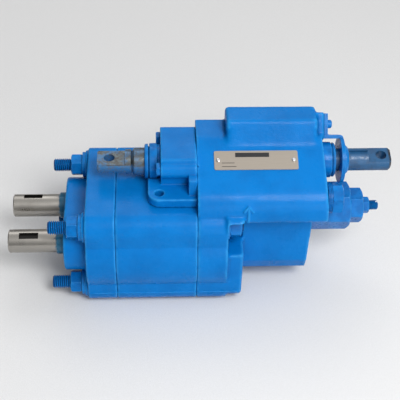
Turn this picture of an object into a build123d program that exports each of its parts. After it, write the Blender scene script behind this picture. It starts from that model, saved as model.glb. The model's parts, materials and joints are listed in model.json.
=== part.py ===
from build123d import *
import math
import os

# Gear pump with a built-in spool valve and relief valve. Millimetres.
# +X runs from the shaft ends to the tail of the spool, +Z is up.
# Stations along X are measured in this file from the four stud pads. The finished pieces
# are moved so that the origin lies where a mounting bracket seats: midway between the two
# shafts, in the plane of the front faces of the stud nuts.

# --- gears and shafts -------------------------------------------------------
CENTRE_DISTANCE = 50.8
GEAR_TEETH = 10
GEAR_WIDTH = 63.2
PRESSURE_ANGLE = 25.0
TOOTH_BACKLASH = 0.45
DEDENDUM_FACTOR = 1.25
SHAFT_DIAMETER = 22.225
SHAFT_END_X = -71.5
SEAL_JOURNAL_DIAMETER = 25.4
SEAL_JOURNAL_X = -26.0
GEAR_JOURNAL_DIAMETER = 28.575
SHAFT_CHAMFER = 1.0
KEY_SEAT_WIDTH = 6.35
KEY_SEAT_DEPTH = 3.6
KEY_SEAT_START = -61.0
KEY_SEAT_END = -43.0
KEY_SEAT_LEAN_FAR = -8.0
KEY_SEAT_LEAN_NEAR = 20.0
SHAFT_REAR_GAP = 0.8
SHAFT_PASSAGE_GAP = 0.6

# --- body castings ----------------------------------------------------------
COVER_LENGTH = 30.7
COVER_RECESS = 3.0
PAD_RADIUS = 14.0
HUB_INSET = 3.03
HUB_LENGTH = 18.5
GEAR_TIP_CLEARANCE = 0.15
GEAR_WALL = 12.6
STUD_WALL = 3.4
STUD_ANGLE = 60.6
CORNER_WALL = 10.2
THRUST_PLATE_THICKNESS = 5.85
GEAR_SIDE_CLEARANCE = 0.15
FLANGE_FLOOR = 4.1
CASTING_EDGE = 1.5

# --- bearings, seals and dowels ---------------------------------------------
BEARING_WALL = 5.4
BEARING_LENGTH = 24.0
BEARING_CHAMFER = 0.5
SEAL_LENGTH = 8.0
SEAL_WALL = 6.3
SEAL_INSET = 5.0
SNAP_RING_THICKNESS = 1.4
SNAP_RING_WIDTH = 3.0
SNAP_RING_GROOVE = 1.2
RUNNING_CLEARANCE = 0.05
FIT_GAP = 0.02
JOINT_SEAL_WALL = 1.2
JOINT_SEAL_WIDTH = 1.4
JOINT_SEAL_DEPTH = 1.5
DOWEL_DIAMETER = 6.0
DOWEL_LENGTH = 16.0
DOWEL_ANGLE = 3.0
DOWEL_CHAMFER = 0.6
DOWEL_WALL = 1.0

# --- clamping studs ---------------------------------------------------------
STUD_DIAMETER = 12.7
STUD_FRONT_X = -31.0
STUD_CLEARANCE = 0.1
STUD_CHAMFER = 1.2
NUT_THICKNESS = 11.0
NUT_TURNS = (22.0, 8.0, 0.0, 14.0)
WASHER_RIM = 6.15
REAR_STUD_PROUD = 2.0
REAR_NUT_TURN = 8.0
WASHER_THICKNESS = 3.0
TAPPED_DEPTH = 24.0

# --- port casting behind the gears ------------------------------------------
EXTENSION_LENGTH = 15.0
EXTENSION_RISE = 7.5
EXTENSION_CORNER = 10.0
POCKET_DROP = 23.18
POCKET_DEPTH = 30.0
POCKET_ROOF_GAP = 0.6
INLET_BLOCK_STEP = 11.7
INLET_BLOCK_INSET = 23.7725
INLET_BLOCK_RISE = 18.73
INLET_BLOCK_OVERLAP = 8.0
INLET_BLOCK_ROUND = 4.0
INLET_BLOCK_CHAMFER_RUN = 6.0
INLET_BLOCK_CHAMFER_RISE = 15.0
INLET_END_DRAFT = 1.4
INLET_TOP_DRAFT = 0.28

# --- valve body -------------------------------------------------------------
SPOOL_SEAT_GAP = 0.4
SPOOL_OFFSET = 8.0
SPOOL_DIAMETER = 25.4
VALVE_TAIL_LENGTH = 31.7
VALVE_END_DRAFT = 2.4
VALVE_NEAR_INSET = 9.7725
VALVE_FAR_REACH = 33.0
VALVE_OVERHANG_GAP = 1.0
VALVE_OVERHANG_SHARE = 0.7
VALVE_BELOW_SPOOL = 28.13
VALVE_ABOVE_SPOOL = 24.87
VALVE_SHOULDER_REACH = 4.0
VALVE_SHOULDER_RUN = 40.0
VALVE_SHOULDER_FALL = 16.5
VALVE_NEAR_ROUND = 24.0
VALVE_LOWER_ROUND = 6.0
BOSS_LENGTH = 85.0
BOSS_BACK_STEP = 7.2
BOSS_NEAR_REACH = 8.0
BOSS_SIDE_RUN = 12.0
BOSS_HEIGHT = 15.5
BOSS_ROUND = 5.0
ARROW_SET = 46.1
ARROW_LENGTH = 17.0
ARROW_STROKE = 1.3
ARROW_BARB = 7.0
ARROW_HEAD_LEAN = 38.0
ARROW_FOOT = 4.0
ARROW_RAISE = 0.8

# --- ports and galleries ----------------------------------------------------
INLET_PORT_RADIUS = 20.6
INLET_PORT_SET = 23.0
INLET_PORT_RISE = 36.0
INLET_PORT_DEPTH = 24.0
INLET_GALLERY_RADIUS = 11.0
INLET_GALLERY_DROP = 5.0
INLET_GALLERY_OVERRUN = 8.0
INLET_BRANCH_RADIUS = 9.5
OUTLET_PORT_RADIUS = 13.2
OUTLET_PORT_SET = 40.1
TANK_PORT_RADIUS = 15.2
PORT_SPREAD = 48.0
PORT_DEPTH = 19.0
PORT_BOSS_WALL = 6.0
PORT_BOSS_HEIGHT = 7.0
PORT_BOSS_ROOT = 5.0
VALVE_GALLERY_RADIUS = 7.0
PRESSURE_GALLERY_RADIUS = 7.5
PRESSURE_GALLERY_OVERRUN = 4.0
RISER_RADIUS = 6.5

# --- spool, bonnet and tail -------------------------------------------------
SPOOL_TRAVEL = 9.5
SPOOL_FRONT_REACH = 58.8
SPOOL_TAIL_REACH = 63.4
SPOOL_FRONT_STEP = 1.3
SPOOL_TAIL_STEP = 2.15
FRONT_EYE_THICKNESS = 9.0
FRONT_EYE_LENGTH = 26.1
FRONT_EYE_HOLE_SET = 11.3
EYE_HOLE_DIAMETER = 10.3
FRONT_GROOVE_SET = 32.4
TAIL_EYE_THICKNESS = 12.7
TAIL_EYE_LENGTH = 21.7
TAIL_EYE_HOLE_SET = 9.1
TAIL_EYE_LEAN = 12.0
TAIL_SLOT_WIDTH = 5.0
TAIL_SLOT_DEPTH = 2.6
SPOOL_LAND_GROOVE = 5.0
SPOOL_NOTCH_WIDTH = 15.0
SPOOL_FIRST_NOTCH_SET = 22.0
BONNET_LENGTH = 33.2
BONNET_NEAR_WALL = 8.0
BONNET_FAR_WALL = 10.0
BONNET_TOP_WALL = 3.87
BONNET_CORNER = 3.0
BONNET_SCREW_WALL = 6.0
BONNET_SCREW_RISE = 9.0
BONNET_SCREW_DIAMETER = 6.35
BONNET_SCREW_HEAD_FLATS = 11.1
BONNET_SCREW_HEAD_HEIGHT = 4.0
BONNET_SCREW_DEPTH = 12.0
BONNET_SCREW_CLEARANCE = 0.2
BONNET_SCREW_TURN = 10.0
BONNET_SEAL_INSET = 3.0
BONNET_LUG_RADIUS = 8.2
BONNET_RIB_LENGTH = 7.9
BONNET_RIB_REACH = 41.0
FOOT_LENGTH_ALONG = 45.1
FOOT_NEAR_REACH = 47.0
FOOT_FAR_WALL = 2.0
FOOT_CUT_REACH = 12.0
FOOT_BELOW_SPOOL = 7.63
FOOT_THICKNESS = 8.5
FOOT_CORNER = 11.0
FOOT_HOLE_SET = 10.4
FOOT_HOLE_REACH = 36.5
FOOT_HOLE_DIAMETER = 8.4
RETAINER_LENGTH = 10.3
RETAINER_WALL = 4.3
RETAINER_NECK = 3.2
RETAINER_GAP = 0.4
WIPER_REACH = 4.4
WIPER_THICKNESS = 3.3
SPOOL_SEAL_WIDTH = 3.0
SPOOL_SEAL_WALL = 3.4
TAIL_CAP_LENGTH = 10.2
TAIL_CAP_WALL = 4.1
TAIL_CAP_SEAT_DEPTH = 3.2
TAIL_CAP_GROOVE_SHARE = 0.62
TAIL_CAP_GROOVE = 1.6
RING_SET = 14.6
RING_WALL = 11.45
PLATE_THICKNESS = 3.6
STRAP_WIDTH = 16.0
STRAP_LEAN = 37.0
STRAP_BEND = 3.4
STRAP_GAP = 3.0
BRACKET_FOOT_LENGTH = 20.0
BRACKET_PAD_DEPTH = 8.0
BRACKET_HOLE_DEPTH = 12.0
BRACKET_SCREW_DIAMETER = 4.8
BRACKET_SCREW_HEAD = 8.0
BRACKET_SCREW_HEAD_HEIGHT = 4.6
BUSH_SPIGOT_WALL = 2.0
BUSH_FLANGE_WALL = 3.45
BUSH_FLANGE_LENGTH = 4.6

# --- relief valve -----------------------------------------------------------
RELIEF_Y = 0.0
RELIEF_BELOW_VALVE = 22.6
RELIEF_BODY_FLATS = 41.0
RELIEF_BODY_LENGTH = 40.5
RELIEF_CAP_FLATS = 30.0
RELIEF_CAP_LENGTH = 12.7
LOCK_NUT_FLATS = 14.3
LOCK_NUT_THICKNESS = 7.0
ADJUSTER_DIAMETER = 9.5
ADJUSTER_PROUD = 9.0
RELIEF_THREAD_DIAMETER = 26.0
RELIEF_THREAD_LENGTH = 18.0
RELIEF_SPRING_BORE = 16.0
RELIEF_SPRING_DIAMETER = 14.0
RELIEF_SPRING_WIRE = 2.6
RELIEF_SPRING_TURNS = 5.5
RELIEF_POPPET_DIAMETER = 12.0
RELIEF_SEAT_BORE = 7.0
RELIEF_SEAT_LENGTH = 6.0
RELIEF_CAP_WALL = 4.0
RELIEF_CAP_SPIGOT = 9.0
RELIEF_SEAT_WALL = 2.0
RELIEF_POPPET_LENGTH = 12.0
SPRING_SEAT_INSET = 8.0
SPRING_SEAT_THICKNESS = 2.6
SPRING_END_GAP = 0.1
PILOT_GAP = 0.3
PILOT_LENGTH = 4.0
ADJUSTER_SLOT_WIDTH = 1.6
ADJUSTER_SLOT_DEPTH = 2.5

# --- load check valve -------------------------------------------------------
CHECK_SET = 21.0
CHECK_BELOW_SPOOL = 13.63
CHECK_PLUG_FLATS = 25.4
CHECK_PLUG_HEX_LENGTH = 10.0
CHECK_COLLAR_RADIUS = 14.2
CHECK_COLLAR_LENGTH = 4.0
CHECK_THREAD_DIAMETER = 22.0
CHECK_THREAD_LENGTH = 16.0
CHECK_BORE_DIAMETER = 18.0
CHECK_BORE_DEPTH = 24.0
CHECK_POPPET_LENGTH = 15.0
CHECK_POPPET_FLOOR = 5.0
CHECK_POPPET_GAP = 0.4
CHECK_PLUG_FLOOR = 4.0
CHECK_SPRING_DIAMETER = 11.0
CHECK_SPRING_WIRE = 1.4
CHECK_SPRING_TURNS = 6.5

# --- plate ------------------------------------------------------------------
NAMEPLATE_LENGTH = 77.0
NAMEPLATE_WIDTH = 19.6
NAMEPLATE_THICKNESS = 0.8
NAMEPLATE_SET = 65.5
NAMEPLATE_SHARE = 0.42
NAMEPLATE_CORNER = 1.5
RIVET_SPREAD = 69.5
RIVET_HEAD_RADIUS = 2.0
RIVET_HEAD_HEIGHT = 1.1
RIVET_SHANK_RADIUS = 1.2
RIVET_SHANK_LENGTH = 5.0

# --- worked out from the sizes above ----------------------------------------
MODULE = CENTRE_DISTANCE / GEAR_TEETH
SHAFT_Y = CENTRE_DISTANCE / 2
PITCH_RADIUS = CENTRE_DISTANCE / 2
TIP_RADIUS = PITCH_RADIUS + MODULE
ROOT_RADIUS = PITCH_RADIUS - DEDENDUM_FACTOR * MODULE
CHAMBER_RADIUS = TIP_RADIUS + GEAR_TIP_CLEARANCE
HUB_RADIUS = CHAMBER_RADIUS - HUB_INSET
STUD_RADIUS = STUD_DIAMETER / 2
NUT_ACROSS_FLATS = 1.5 * STUD_DIAMETER
WASHER_RADIUS = STUD_RADIUS + WASHER_RIM
STUD_REACH = CHAMBER_RADIUS + STUD_WALL + STUD_RADIUS
STUD_Y = SHAFT_Y + STUD_REACH * math.cos(math.radians(STUD_ANGLE))
STUD_Z = STUD_REACH * math.sin(math.radians(STUD_ANGLE))
BRACKET_SEAT_X = -WASHER_THICKNESS - NUT_THICKNESS
CORNER_RADIUS = STUD_RADIUS + CORNER_WALL
BODY_HALF_Y = STUD_Y + CORNER_RADIUS
BODY_HALF_Z = STUD_Z + CORNER_RADIUS
BULGE_RADIUS = CHAMBER_RADIUS + GEAR_WALL
CHAMBER_START = COVER_LENGTH
GEAR_START = CHAMBER_START + THRUST_PLATE_THICKNESS + GEAR_SIDE_CLEARANCE
GEAR_END = GEAR_START + GEAR_WIDTH
CHAMBER_END = GEAR_END + GEAR_SIDE_CLEARANCE + THRUST_PLATE_THICKNESS
FLANGE_END = CHAMBER_END + BEARING_LENGTH + FLANGE_FLOOR
EXTENSION_END = FLANGE_END + EXTENSION_LENGTH
JOURNAL_RADIUS = GEAR_JOURNAL_DIAMETER / 2
BEARING_RADIUS = JOURNAL_RADIUS + RUNNING_CLEARANCE + BEARING_WALL
SEAL_RADIUS = SEAL_JOURNAL_DIAMETER / 2 + SEAL_WALL
SPOOL_RADIUS = SPOOL_DIAMETER / 2
RETAINER_RADIUS = SPOOL_RADIUS + RETAINER_WALL
SPOOL_Z = BODY_HALF_Z + RETAINER_RADIUS + SPOOL_SEAT_GAP
SPOOL_BORE_RADIUS = SPOOL_RADIUS + RUNNING_CLEARANCE
SPOOL_FRONT_RADIUS = SPOOL_RADIUS - SPOOL_FRONT_STEP
TAIL_RADIUS = SPOOL_RADIUS - SPOOL_TAIL_STEP
OUTLET_PORT_X = CHAMBER_END + OUTLET_PORT_SET
TANK_PORT_X = OUTLET_PORT_X + PORT_SPREAD
VALVE_END = TANK_PORT_X + VALVE_TAIL_LENGTH
VALVE_NEAR_SIDE = -BODY_HALF_Y + VALVE_NEAR_INSET
VALVE_FAR_SIDE = SPOOL_OFFSET + VALVE_FAR_REACH
VALVE_UNDERSIDE = SPOOL_Z - VALVE_BELOW_SPOOL
VALVE_TOP = SPOOL_Z + VALVE_ABOVE_SPOOL
VALVE_SHOULDER_Y = SPOOL_OFFSET + VALVE_SHOULDER_REACH
VALVE_SHOULDER_LOW_Y = VALVE_SHOULDER_Y - VALVE_SHOULDER_RUN
VALVE_SHOULDER_LOW_Z = VALVE_TOP - VALVE_SHOULDER_FALL
VALVE_OVERHANG_START = FLANGE_END + VALVE_OVERHANG_GAP
BOSS_END = VALVE_END - BOSS_BACK_STEP
BOSS_START = BOSS_END - BOSS_LENGTH
BOSS_NEAR_Y = SPOOL_OFFSET + BOSS_NEAR_REACH
BOSS_TOP = VALVE_TOP + BOSS_HEIGHT
PORT_BOSS_FACE = VALVE_FAR_SIDE + PORT_BOSS_HEIGHT
INLET_BLOCK_END = VALVE_END - INLET_BLOCK_STEP
INLET_BLOCK_HALF_WIDTH = BODY_HALF_Y - INLET_BLOCK_INSET
INLET_BLOCK_BOTTOM = -BODY_HALF_Z + INLET_BLOCK_RISE
INLET_PORT_X = EXTENSION_END + INLET_PORT_SET
INLET_PORT_Z = INLET_BLOCK_BOTTOM + INLET_PORT_RISE
INLET_GALLERY_Z = -INLET_GALLERY_RADIUS - INLET_GALLERY_DROP
BONNET_START = CHAMBER_END - BONNET_LENGTH
BONNET_NEAR_Y = SPOOL_OFFSET - RETAINER_RADIUS - BONNET_NEAR_WALL
BONNET_FAR_Y = SPOOL_OFFSET + RETAINER_RADIUS + BONNET_FAR_WALL
BONNET_TOP = SPOOL_Z + RETAINER_RADIUS + BONNET_TOP_WALL
BONNET_SCREW_Z = SPOOL_Z + BONNET_SCREW_RISE
BONNET_SCREW_REACH = RETAINER_RADIUS + BONNET_SCREW_WALL
FOOT_FAR_Y = SPOOL_OFFSET + RETAINER_RADIUS + FOOT_FAR_WALL
FOOT_START = CHAMBER_END - FOOT_LENGTH_ALONG
FOOT_TOP = SPOOL_Z - FOOT_BELOW_SPOOL
RETAINER_START = BONNET_START - RETAINER_LENGTH
WIPER_START = RETAINER_START - WIPER_REACH
SPOOL_LEFT_X = BONNET_START - SPOOL_FRONT_REACH
SPOOL_RIGHT_X = VALVE_END + SPOOL_TAIL_REACH
TAIL_CAP_RADIUS = SPOOL_RADIUS + TAIL_CAP_WALL
TAIL_CAP_SEAT_X = VALVE_END - TAIL_CAP_SEAT_DEPTH
TAIL_SEAL_X = TAIL_CAP_SEAT_X - SPOOL_SEAL_WIDTH
RING_X = VALVE_END + RING_SET
STRAP_RADIUS = TAIL_CAP_RADIUS + STRAP_GAP
BRACKET_SCREW_REACH = STRAP_RADIUS + PLATE_THICKNESS + BRACKET_FOOT_LENGTH / 2
RELIEF_Z = VALVE_UNDERSIDE - RELIEF_BELOW_VALVE
RELIEF_SEAT_X = INLET_BLOCK_END - RELIEF_THREAD_LENGTH
RELIEF_BODY_END = INLET_BLOCK_END + RELIEF_BODY_LENGTH
RELIEF_SPIGOT_RADIUS = RELIEF_CAP_FLATS / 2 - RELIEF_CAP_WALL
SPRING_SEAT_X = RELIEF_BODY_END - SPRING_SEAT_INSET
SPRING_PILOT_RADIUS = RELIEF_SPRING_DIAMETER / 2 - RELIEF_SPRING_WIRE - PILOT_GAP
CHECK_Y = VALVE_NEAR_SIDE + CHECK_SET
CHECK_Z = SPOOL_Z - CHECK_BELOW_SPOOL
CHECK_THREAD_START = VALVE_END - CHECK_THREAD_LENGTH
CHECK_BORE_END = CHECK_THREAD_START - CHECK_BORE_DEPTH
NAMEPLATE_X = VALVE_END - NAMEPLATE_SET
ARROW_X = CHAMBER_END + ARROW_SET
HEX_CORNER = 2 / math.sqrt(3)


def rod(radius, start, end, y=0.0, z=0.0):
    """Plain cylinder along X."""
    return Pos((start + end) / 2, y, z) * Rot(0, 90, 0) * Cylinder(radius, end - start)


def slab(x_range, y_range, z_range):
    """Box between two stations on each axis."""
    size = [high - low for low, high in (x_range, y_range, z_range)]
    middle = [(high + low) / 2 for low, high in (x_range, y_range, z_range)]
    return Pos(*middle) * Box(*size)


def turned(points, y=0.0, z=0.0):
    """Solid of revolution about a line along X, from (station, radius) points."""
    outline = [(x, 0, r) for x, r in points]
    start = (points[0][0], 0, 0)
    end = (points[-1][0], 0, 0)
    face = make_face(Polyline(start, *outline, end, close=True))
    return Pos(0, y, z) * revolve(face, Axis.X, 360)


def bored(points, hole_radius, y=0.0, z=0.0):
    """Turned piece with a plain hole through it."""
    start = min(x for x, r in points) - 1
    end = max(x for x, r in points) + 1
    return turned(points, y, z) - rod(hole_radius, start, end, y, z)


def section_at(x):
    """Sketch plane across the pump, with local x along Y and local y along Z."""
    return Plane(origin=(x, 0, 0), x_dir=(0, 1, 0), z_dir=(1, 0, 0))


def across(section, start, end):
    """Section in the Y-Z plane carried from one station to another."""
    return extrude(section_at(start) * section, end - start)


def hex_bar(flats, start, end, y, z, turn=0.0, chamfer_start=True, chamfer_end=True):
    """Hexagon bar along X, with the corners turned off at its ends."""
    corner = flats / 2 * HEX_CORNER
    section = Pos(y, z) * RegularPolygon(corner, 6, rotation=turn)
    face_radius = flats / 2 * 0.96
    bevel = (corner - face_radius) * math.tan(math.radians(30))
    outline = [(start, face_radius if chamfer_start else corner)]
    if chamfer_start:
        outline.append((start + bevel, corner))
    if chamfer_end:
        outline.append((end - bevel, corner))
    outline.append((end, face_radius if chamfer_end else corner))
    return across(section, start, end) & turned(outline, y, z)


def coil(wire, diameter, start, end, turns, y, z):
    """Round-wire compression spring along X between two seats."""
    radius = (diameter - wire) / 2
    length = end - start - wire
    helix = Helix(length / turns, length, radius)
    profile = Plane(origin=helix @ 0, z_dir=helix % 0) * Circle(wire / 2)
    spring = sweep(profile, path=helix)
    return Pos(start + wire / 2, y, z) * Rot(0, 90, 0) * spring


def stud_places():
    """The four studs: near and far, upper and lower."""
    return [(side * STUD_Y, rise * STUD_Z) for side in (-1, 1) for rise in (-1, 1)]


def upper_stud_places():
    """The two studs whose rear ends come out under the valve body."""
    return [(side * STUD_Y, STUD_Z) for side in (-1, 1)]


def both_shafts():
    """Places of the near and the far shaft."""
    return [-SHAFT_Y, SHAFT_Y]


def dowel_places():
    """Two dowels beside the gear chamber, one high and one low."""
    reach = CHAMBER_RADIUS + JOINT_SEAL_WALL + JOINT_SEAL_WIDTH + DOWEL_DIAMETER / 2 + DOWEL_WALL
    lean = math.radians(DOWEL_ANGLE)
    y = SHAFT_Y + reach * math.cos(lean)
    z = reach * math.sin(lean)
    return [(y, z), (-y, -z)]


# --- castings ---------------------------------------------------------------
def body_section():
    """Rounded corners round the studs, with the sides carried out round the gear chamber."""
    section = RectangleRounded(2 * BODY_HALF_Y, 2 * BODY_HALF_Z, CORNER_RADIUS)
    for y in both_shafts():
        section += Pos(y, 0) * Circle(BULGE_RADIUS)
    return section


def chamber_section(growth=0.0):
    """Two overlapping circles round the gears."""
    section = Sketch()
    for y in both_shafts():
        section += Pos(y, 0) * Circle(CHAMBER_RADIUS + growth)
    return section


def body_block(start, end):
    """Length of the body outline with its outer edges eased."""
    block = across(body_section(), start, end)
    front = block.faces().sort_by(Axis.X)[0]
    return chamfer(front.outer_wire().edges(), CASTING_EDGE / 2)


def stud_holes(start, end, places=None):
    """Clearance holes for the studs."""
    radius = STUD_RADIUS + STUD_CLEARANCE
    return [rod(radius, start, end, y, z) for y, z in (places or stud_places())]


def dowel_holes(joint_x):
    """Dowel holes across one joint face."""
    half = DOWEL_LENGTH / 2
    radius = DOWEL_DIAMETER / 2 + FIT_GAP
    return [rod(radius, joint_x - half, joint_x + half, y, z) for y, z in dowel_places()]


def front_cover():
    """Front casting: oblong shaft boss, stud pads, bearing and seal bores."""
    cover = body_block(COVER_RECESS, COVER_LENGTH)
    for y, z in stud_places():
        cover += rod(PAD_RADIUS, 0, COVER_RECESS + 1, y, z)
    hub = Sketch()
    for y in both_shafts():
        hub += Pos(y, 0) * Circle(HUB_RADIUS)
    hub += Rectangle(CENTRE_DISTANCE, 2 * HUB_RADIUS)
    hub_block = across(hub, -HUB_LENGTH, COVER_RECESS + 1)
    hub_front = hub_block.faces().sort_by(Axis.X)[0]
    hub_block = fillet(hub_front.outer_wire().edges(), CASTING_EDGE)
    cover += hub_block
    seal_back = -HUB_LENGTH + SEAL_INSET + SEAL_LENGTH
    ring_back = -HUB_LENGTH + SEAL_INSET
    for y in both_shafts():
        cover -= rod(SEAL_RADIUS + FIT_GAP, -HUB_LENGTH - 1, seal_back, y)
        cover -= rod(SEAL_RADIUS + SNAP_RING_GROOVE, ring_back - SNAP_RING_THICKNESS, ring_back, y)
        cover -= rod(JOURNAL_RADIUS + SHAFT_PASSAGE_GAP, seal_back - 1, COVER_LENGTH + 1, y)
        cover -= rod(BEARING_RADIUS + FIT_GAP, COVER_LENGTH - BEARING_LENGTH, COVER_LENGTH + 1, y)
    for hole in stud_holes(-1, COVER_LENGTH + 1) + dowel_holes(COVER_LENGTH):
        cover -= hole
    return cover


def joint_seal_section(shrink=0.0):
    """Endless seal following the gear chamber's outline."""
    inner = JOINT_SEAL_WALL + shrink
    outer = JOINT_SEAL_WALL + JOINT_SEAL_WIDTH - shrink
    return chamber_section(outer) - chamber_section(inner)


def gear_housing():
    """Middle casting: gear chamber with a seal groove in each joint face."""
    housing = body_block(CHAMBER_START, CHAMBER_END)
    housing -= across(chamber_section(), CHAMBER_START - 1, CHAMBER_END + 1)
    housing -= across(joint_seal_section(), CHAMBER_START - 1, CHAMBER_START + JOINT_SEAL_DEPTH)
    housing -= across(joint_seal_section(), CHAMBER_END - JOINT_SEAL_DEPTH, CHAMBER_END + 1)
    for hole in stud_holes(CHAMBER_START - 1, CHAMBER_END + 1):
        housing -= hole
    for hole in dowel_holes(CHAMBER_START) + dowel_holes(CHAMBER_END):
        housing -= hole
    return housing


def rear_extension():
    """Step behind the flange, cut away round the two upper studs."""
    bottom = -BODY_HALF_Z + EXTENSION_RISE
    height = BODY_HALF_Z - bottom
    section = Pos(0, bottom + height / 2) * RectangleRounded(2 * BODY_HALF_Y, height, EXTENSION_CORNER)
    block = across(section, FLANGE_END - 1, EXTENSION_END)
    rear = block.faces().sort_by(Axis.X)[-1]
    block = fillet(rear.outer_wire().edges(), 2 * CASTING_EDGE)
    return block


def nut_pockets():
    """Spaces behind the flange for the washers and nuts of the two upper studs."""
    roof = STUD_Z + WASHER_RADIUS + POCKET_ROOF_GAP
    height = (STUD_Z - POCKET_DROP, roof)
    spaces = []
    for side in (-1, 1):
        near = side * (BODY_HALF_Y - POCKET_DEPTH)
        far = side * (BULGE_RADIUS + SHAFT_Y + 1)
        y_range = (min(near, far), max(near, far))
        spaces.append(slab((FLANGE_END, EXTENSION_END), y_range, height))
    return spaces


def inlet_block():
    """Block behind the flange that carries the inlet port and the relief valve."""
    half = INLET_BLOCK_HALF_WIDTH
    base = half - INLET_BLOCK_CHAMFER_RUN
    shoulder = INLET_BLOCK_BOTTOM + INLET_BLOCK_CHAMFER_RISE
    top = VALVE_UNDERSIDE + INLET_BLOCK_OVERLAP
    section = make_face(
        Polyline(
            (-half, top),
            (-half, shoulder),
            (-base, INLET_BLOCK_BOTTOM),
            (base, INLET_BLOCK_BOTTOM),
            (half, shoulder),
            (half, top),
            close=True,
        )
    )
    section = fillet(section.vertices().sort_by(Axis.Y)[:4], INLET_BLOCK_ROUND)
    block = across(section, FLANGE_END, INLET_BLOCK_END)
    drafted = make_face(
        Polyline(
            (FLANGE_END - 1, 0, top + 1),
            (INLET_BLOCK_END + INLET_TOP_DRAFT, 0, top + 1),
            (INLET_BLOCK_END - INLET_END_DRAFT, 0, INLET_BLOCK_BOTTOM - 1),
            (FLANGE_END - 1, 0, INLET_BLOCK_BOTTOM - 1),
            close=True,
        )
    )
    return block & extrude(drafted, half + 1, both=True)


def valve_section():
    """Valve body: flat top, sloped shoulder for the plate, round near side."""
    low = VALVE_UNDERSIDE
    outline = Polyline(
        (VALVE_NEAR_SIDE, low),
        (VALVE_NEAR_SIDE, VALVE_SHOULDER_LOW_Z - VALVE_NEAR_ROUND / 2),
        (VALVE_SHOULDER_LOW_Y, VALVE_SHOULDER_LOW_Z),
        (VALVE_SHOULDER_Y, VALVE_TOP),
        (VALVE_FAR_SIDE, VALVE_TOP),
        (VALVE_FAR_SIDE, low),
        close=True,
    )
    section = make_face(outline)
    corners = section.vertices()
    near_low = corners.sort_by_distance((VALVE_NEAR_SIDE, low, 0))[0]
    section = fillet(near_low, VALVE_LOWER_ROUND)
    near_high = section.vertices().sort_by_distance(
        (VALVE_NEAR_SIDE, VALVE_SHOULDER_LOW_Z - VALVE_NEAR_ROUND / 2, 0)
    )[0]
    section = fillet(near_high, VALVE_NEAR_ROUND)
    shoulder = section.vertices().sort_by_distance((VALVE_SHOULDER_Y, VALVE_TOP, 0))[0]
    section = fillet(shoulder, VALVE_NEAR_ROUND)
    far_high = section.vertices().sort_by_distance((VALVE_FAR_SIDE, VALVE_TOP, 0))[0]
    return fillet(far_high, 2 * CASTING_EDGE)


def boss_block():
    """Raised ridge along the back of the valve body."""
    section = make_face(
        Polyline(
            (BOSS_NEAR_Y - BOSS_SIDE_RUN, VALVE_TOP - 2),
            (BOSS_NEAR_Y, BOSS_TOP),
            (VALVE_FAR_SIDE, BOSS_TOP),
            (VALVE_FAR_SIDE, VALVE_TOP - 2),
            close=True,
        )
    )
    top_corners = section.vertices().sort_by(Axis.Y)[-2:]
    section = fillet(top_corners, BOSS_ROUND)
    block = across(section, BOSS_START, BOSS_END)
    ends = block.faces().sort_by(Axis.X)
    top_edges = [
        edge
        for face in (ends[0], ends[-1])
        for edge in face.edges()
        if edge.center().Z > VALVE_TOP
    ]
    return fillet(top_edges, CASTING_EDGE * 2)


def valve_body_block():
    """Upper part of the port casting, leaning back a little at its rear face."""
    block = across(valve_section(), CHAMBER_END, VALVE_END)
    over_flange = slab(
        (CHAMBER_END - 1, VALVE_OVERHANG_START),
        (VALVE_NEAR_SIDE - 1, VALVE_FAR_SIDE + 1),
        (VALVE_UNDERSIDE - 1, STUD_Z + CORNER_RADIUS * VALVE_OVERHANG_SHARE),
    )
    block -= over_flange
    block += boss_block()
    lean = VALVE_END_DRAFT / (VALVE_TOP - VALVE_UNDERSIDE)
    top = BOSS_TOP + 1
    drafted = make_face(
        Polyline(
            (CHAMBER_END, 0, VALVE_UNDERSIDE - 1),
            (VALVE_END, 0, VALVE_UNDERSIDE - 1),
            (VALVE_END - lean * (top - VALVE_UNDERSIDE), 0, top),
            (CHAMBER_END, 0, top),
            close=True,
        )
    )
    return block & extrude(drafted, BODY_HALF_Y, both=True)


def port_bosses():
    """Round pads on the far side for the outlet and tank ports."""
    pads = []
    for x, radius in ((OUTLET_PORT_X, OUTLET_PORT_RADIUS), (TANK_PORT_X, TANK_PORT_RADIUS)):
        length = PORT_BOSS_HEIGHT + PORT_BOSS_ROOT
        place = Pos(x, PORT_BOSS_FACE - length / 2, SPOOL_Z)
        pads.append(place * Rot(90, 0, 0) * Cylinder(radius + PORT_BOSS_WALL, length))
    return pads


def bore_along_y(radius, x, z, start, end):
    """Cylinder along Y, for ports and cross drillings."""
    return Pos(x, (start + end) / 2, z) * Rot(90, 0, 0) * Cylinder(radius, end - start)


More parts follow.
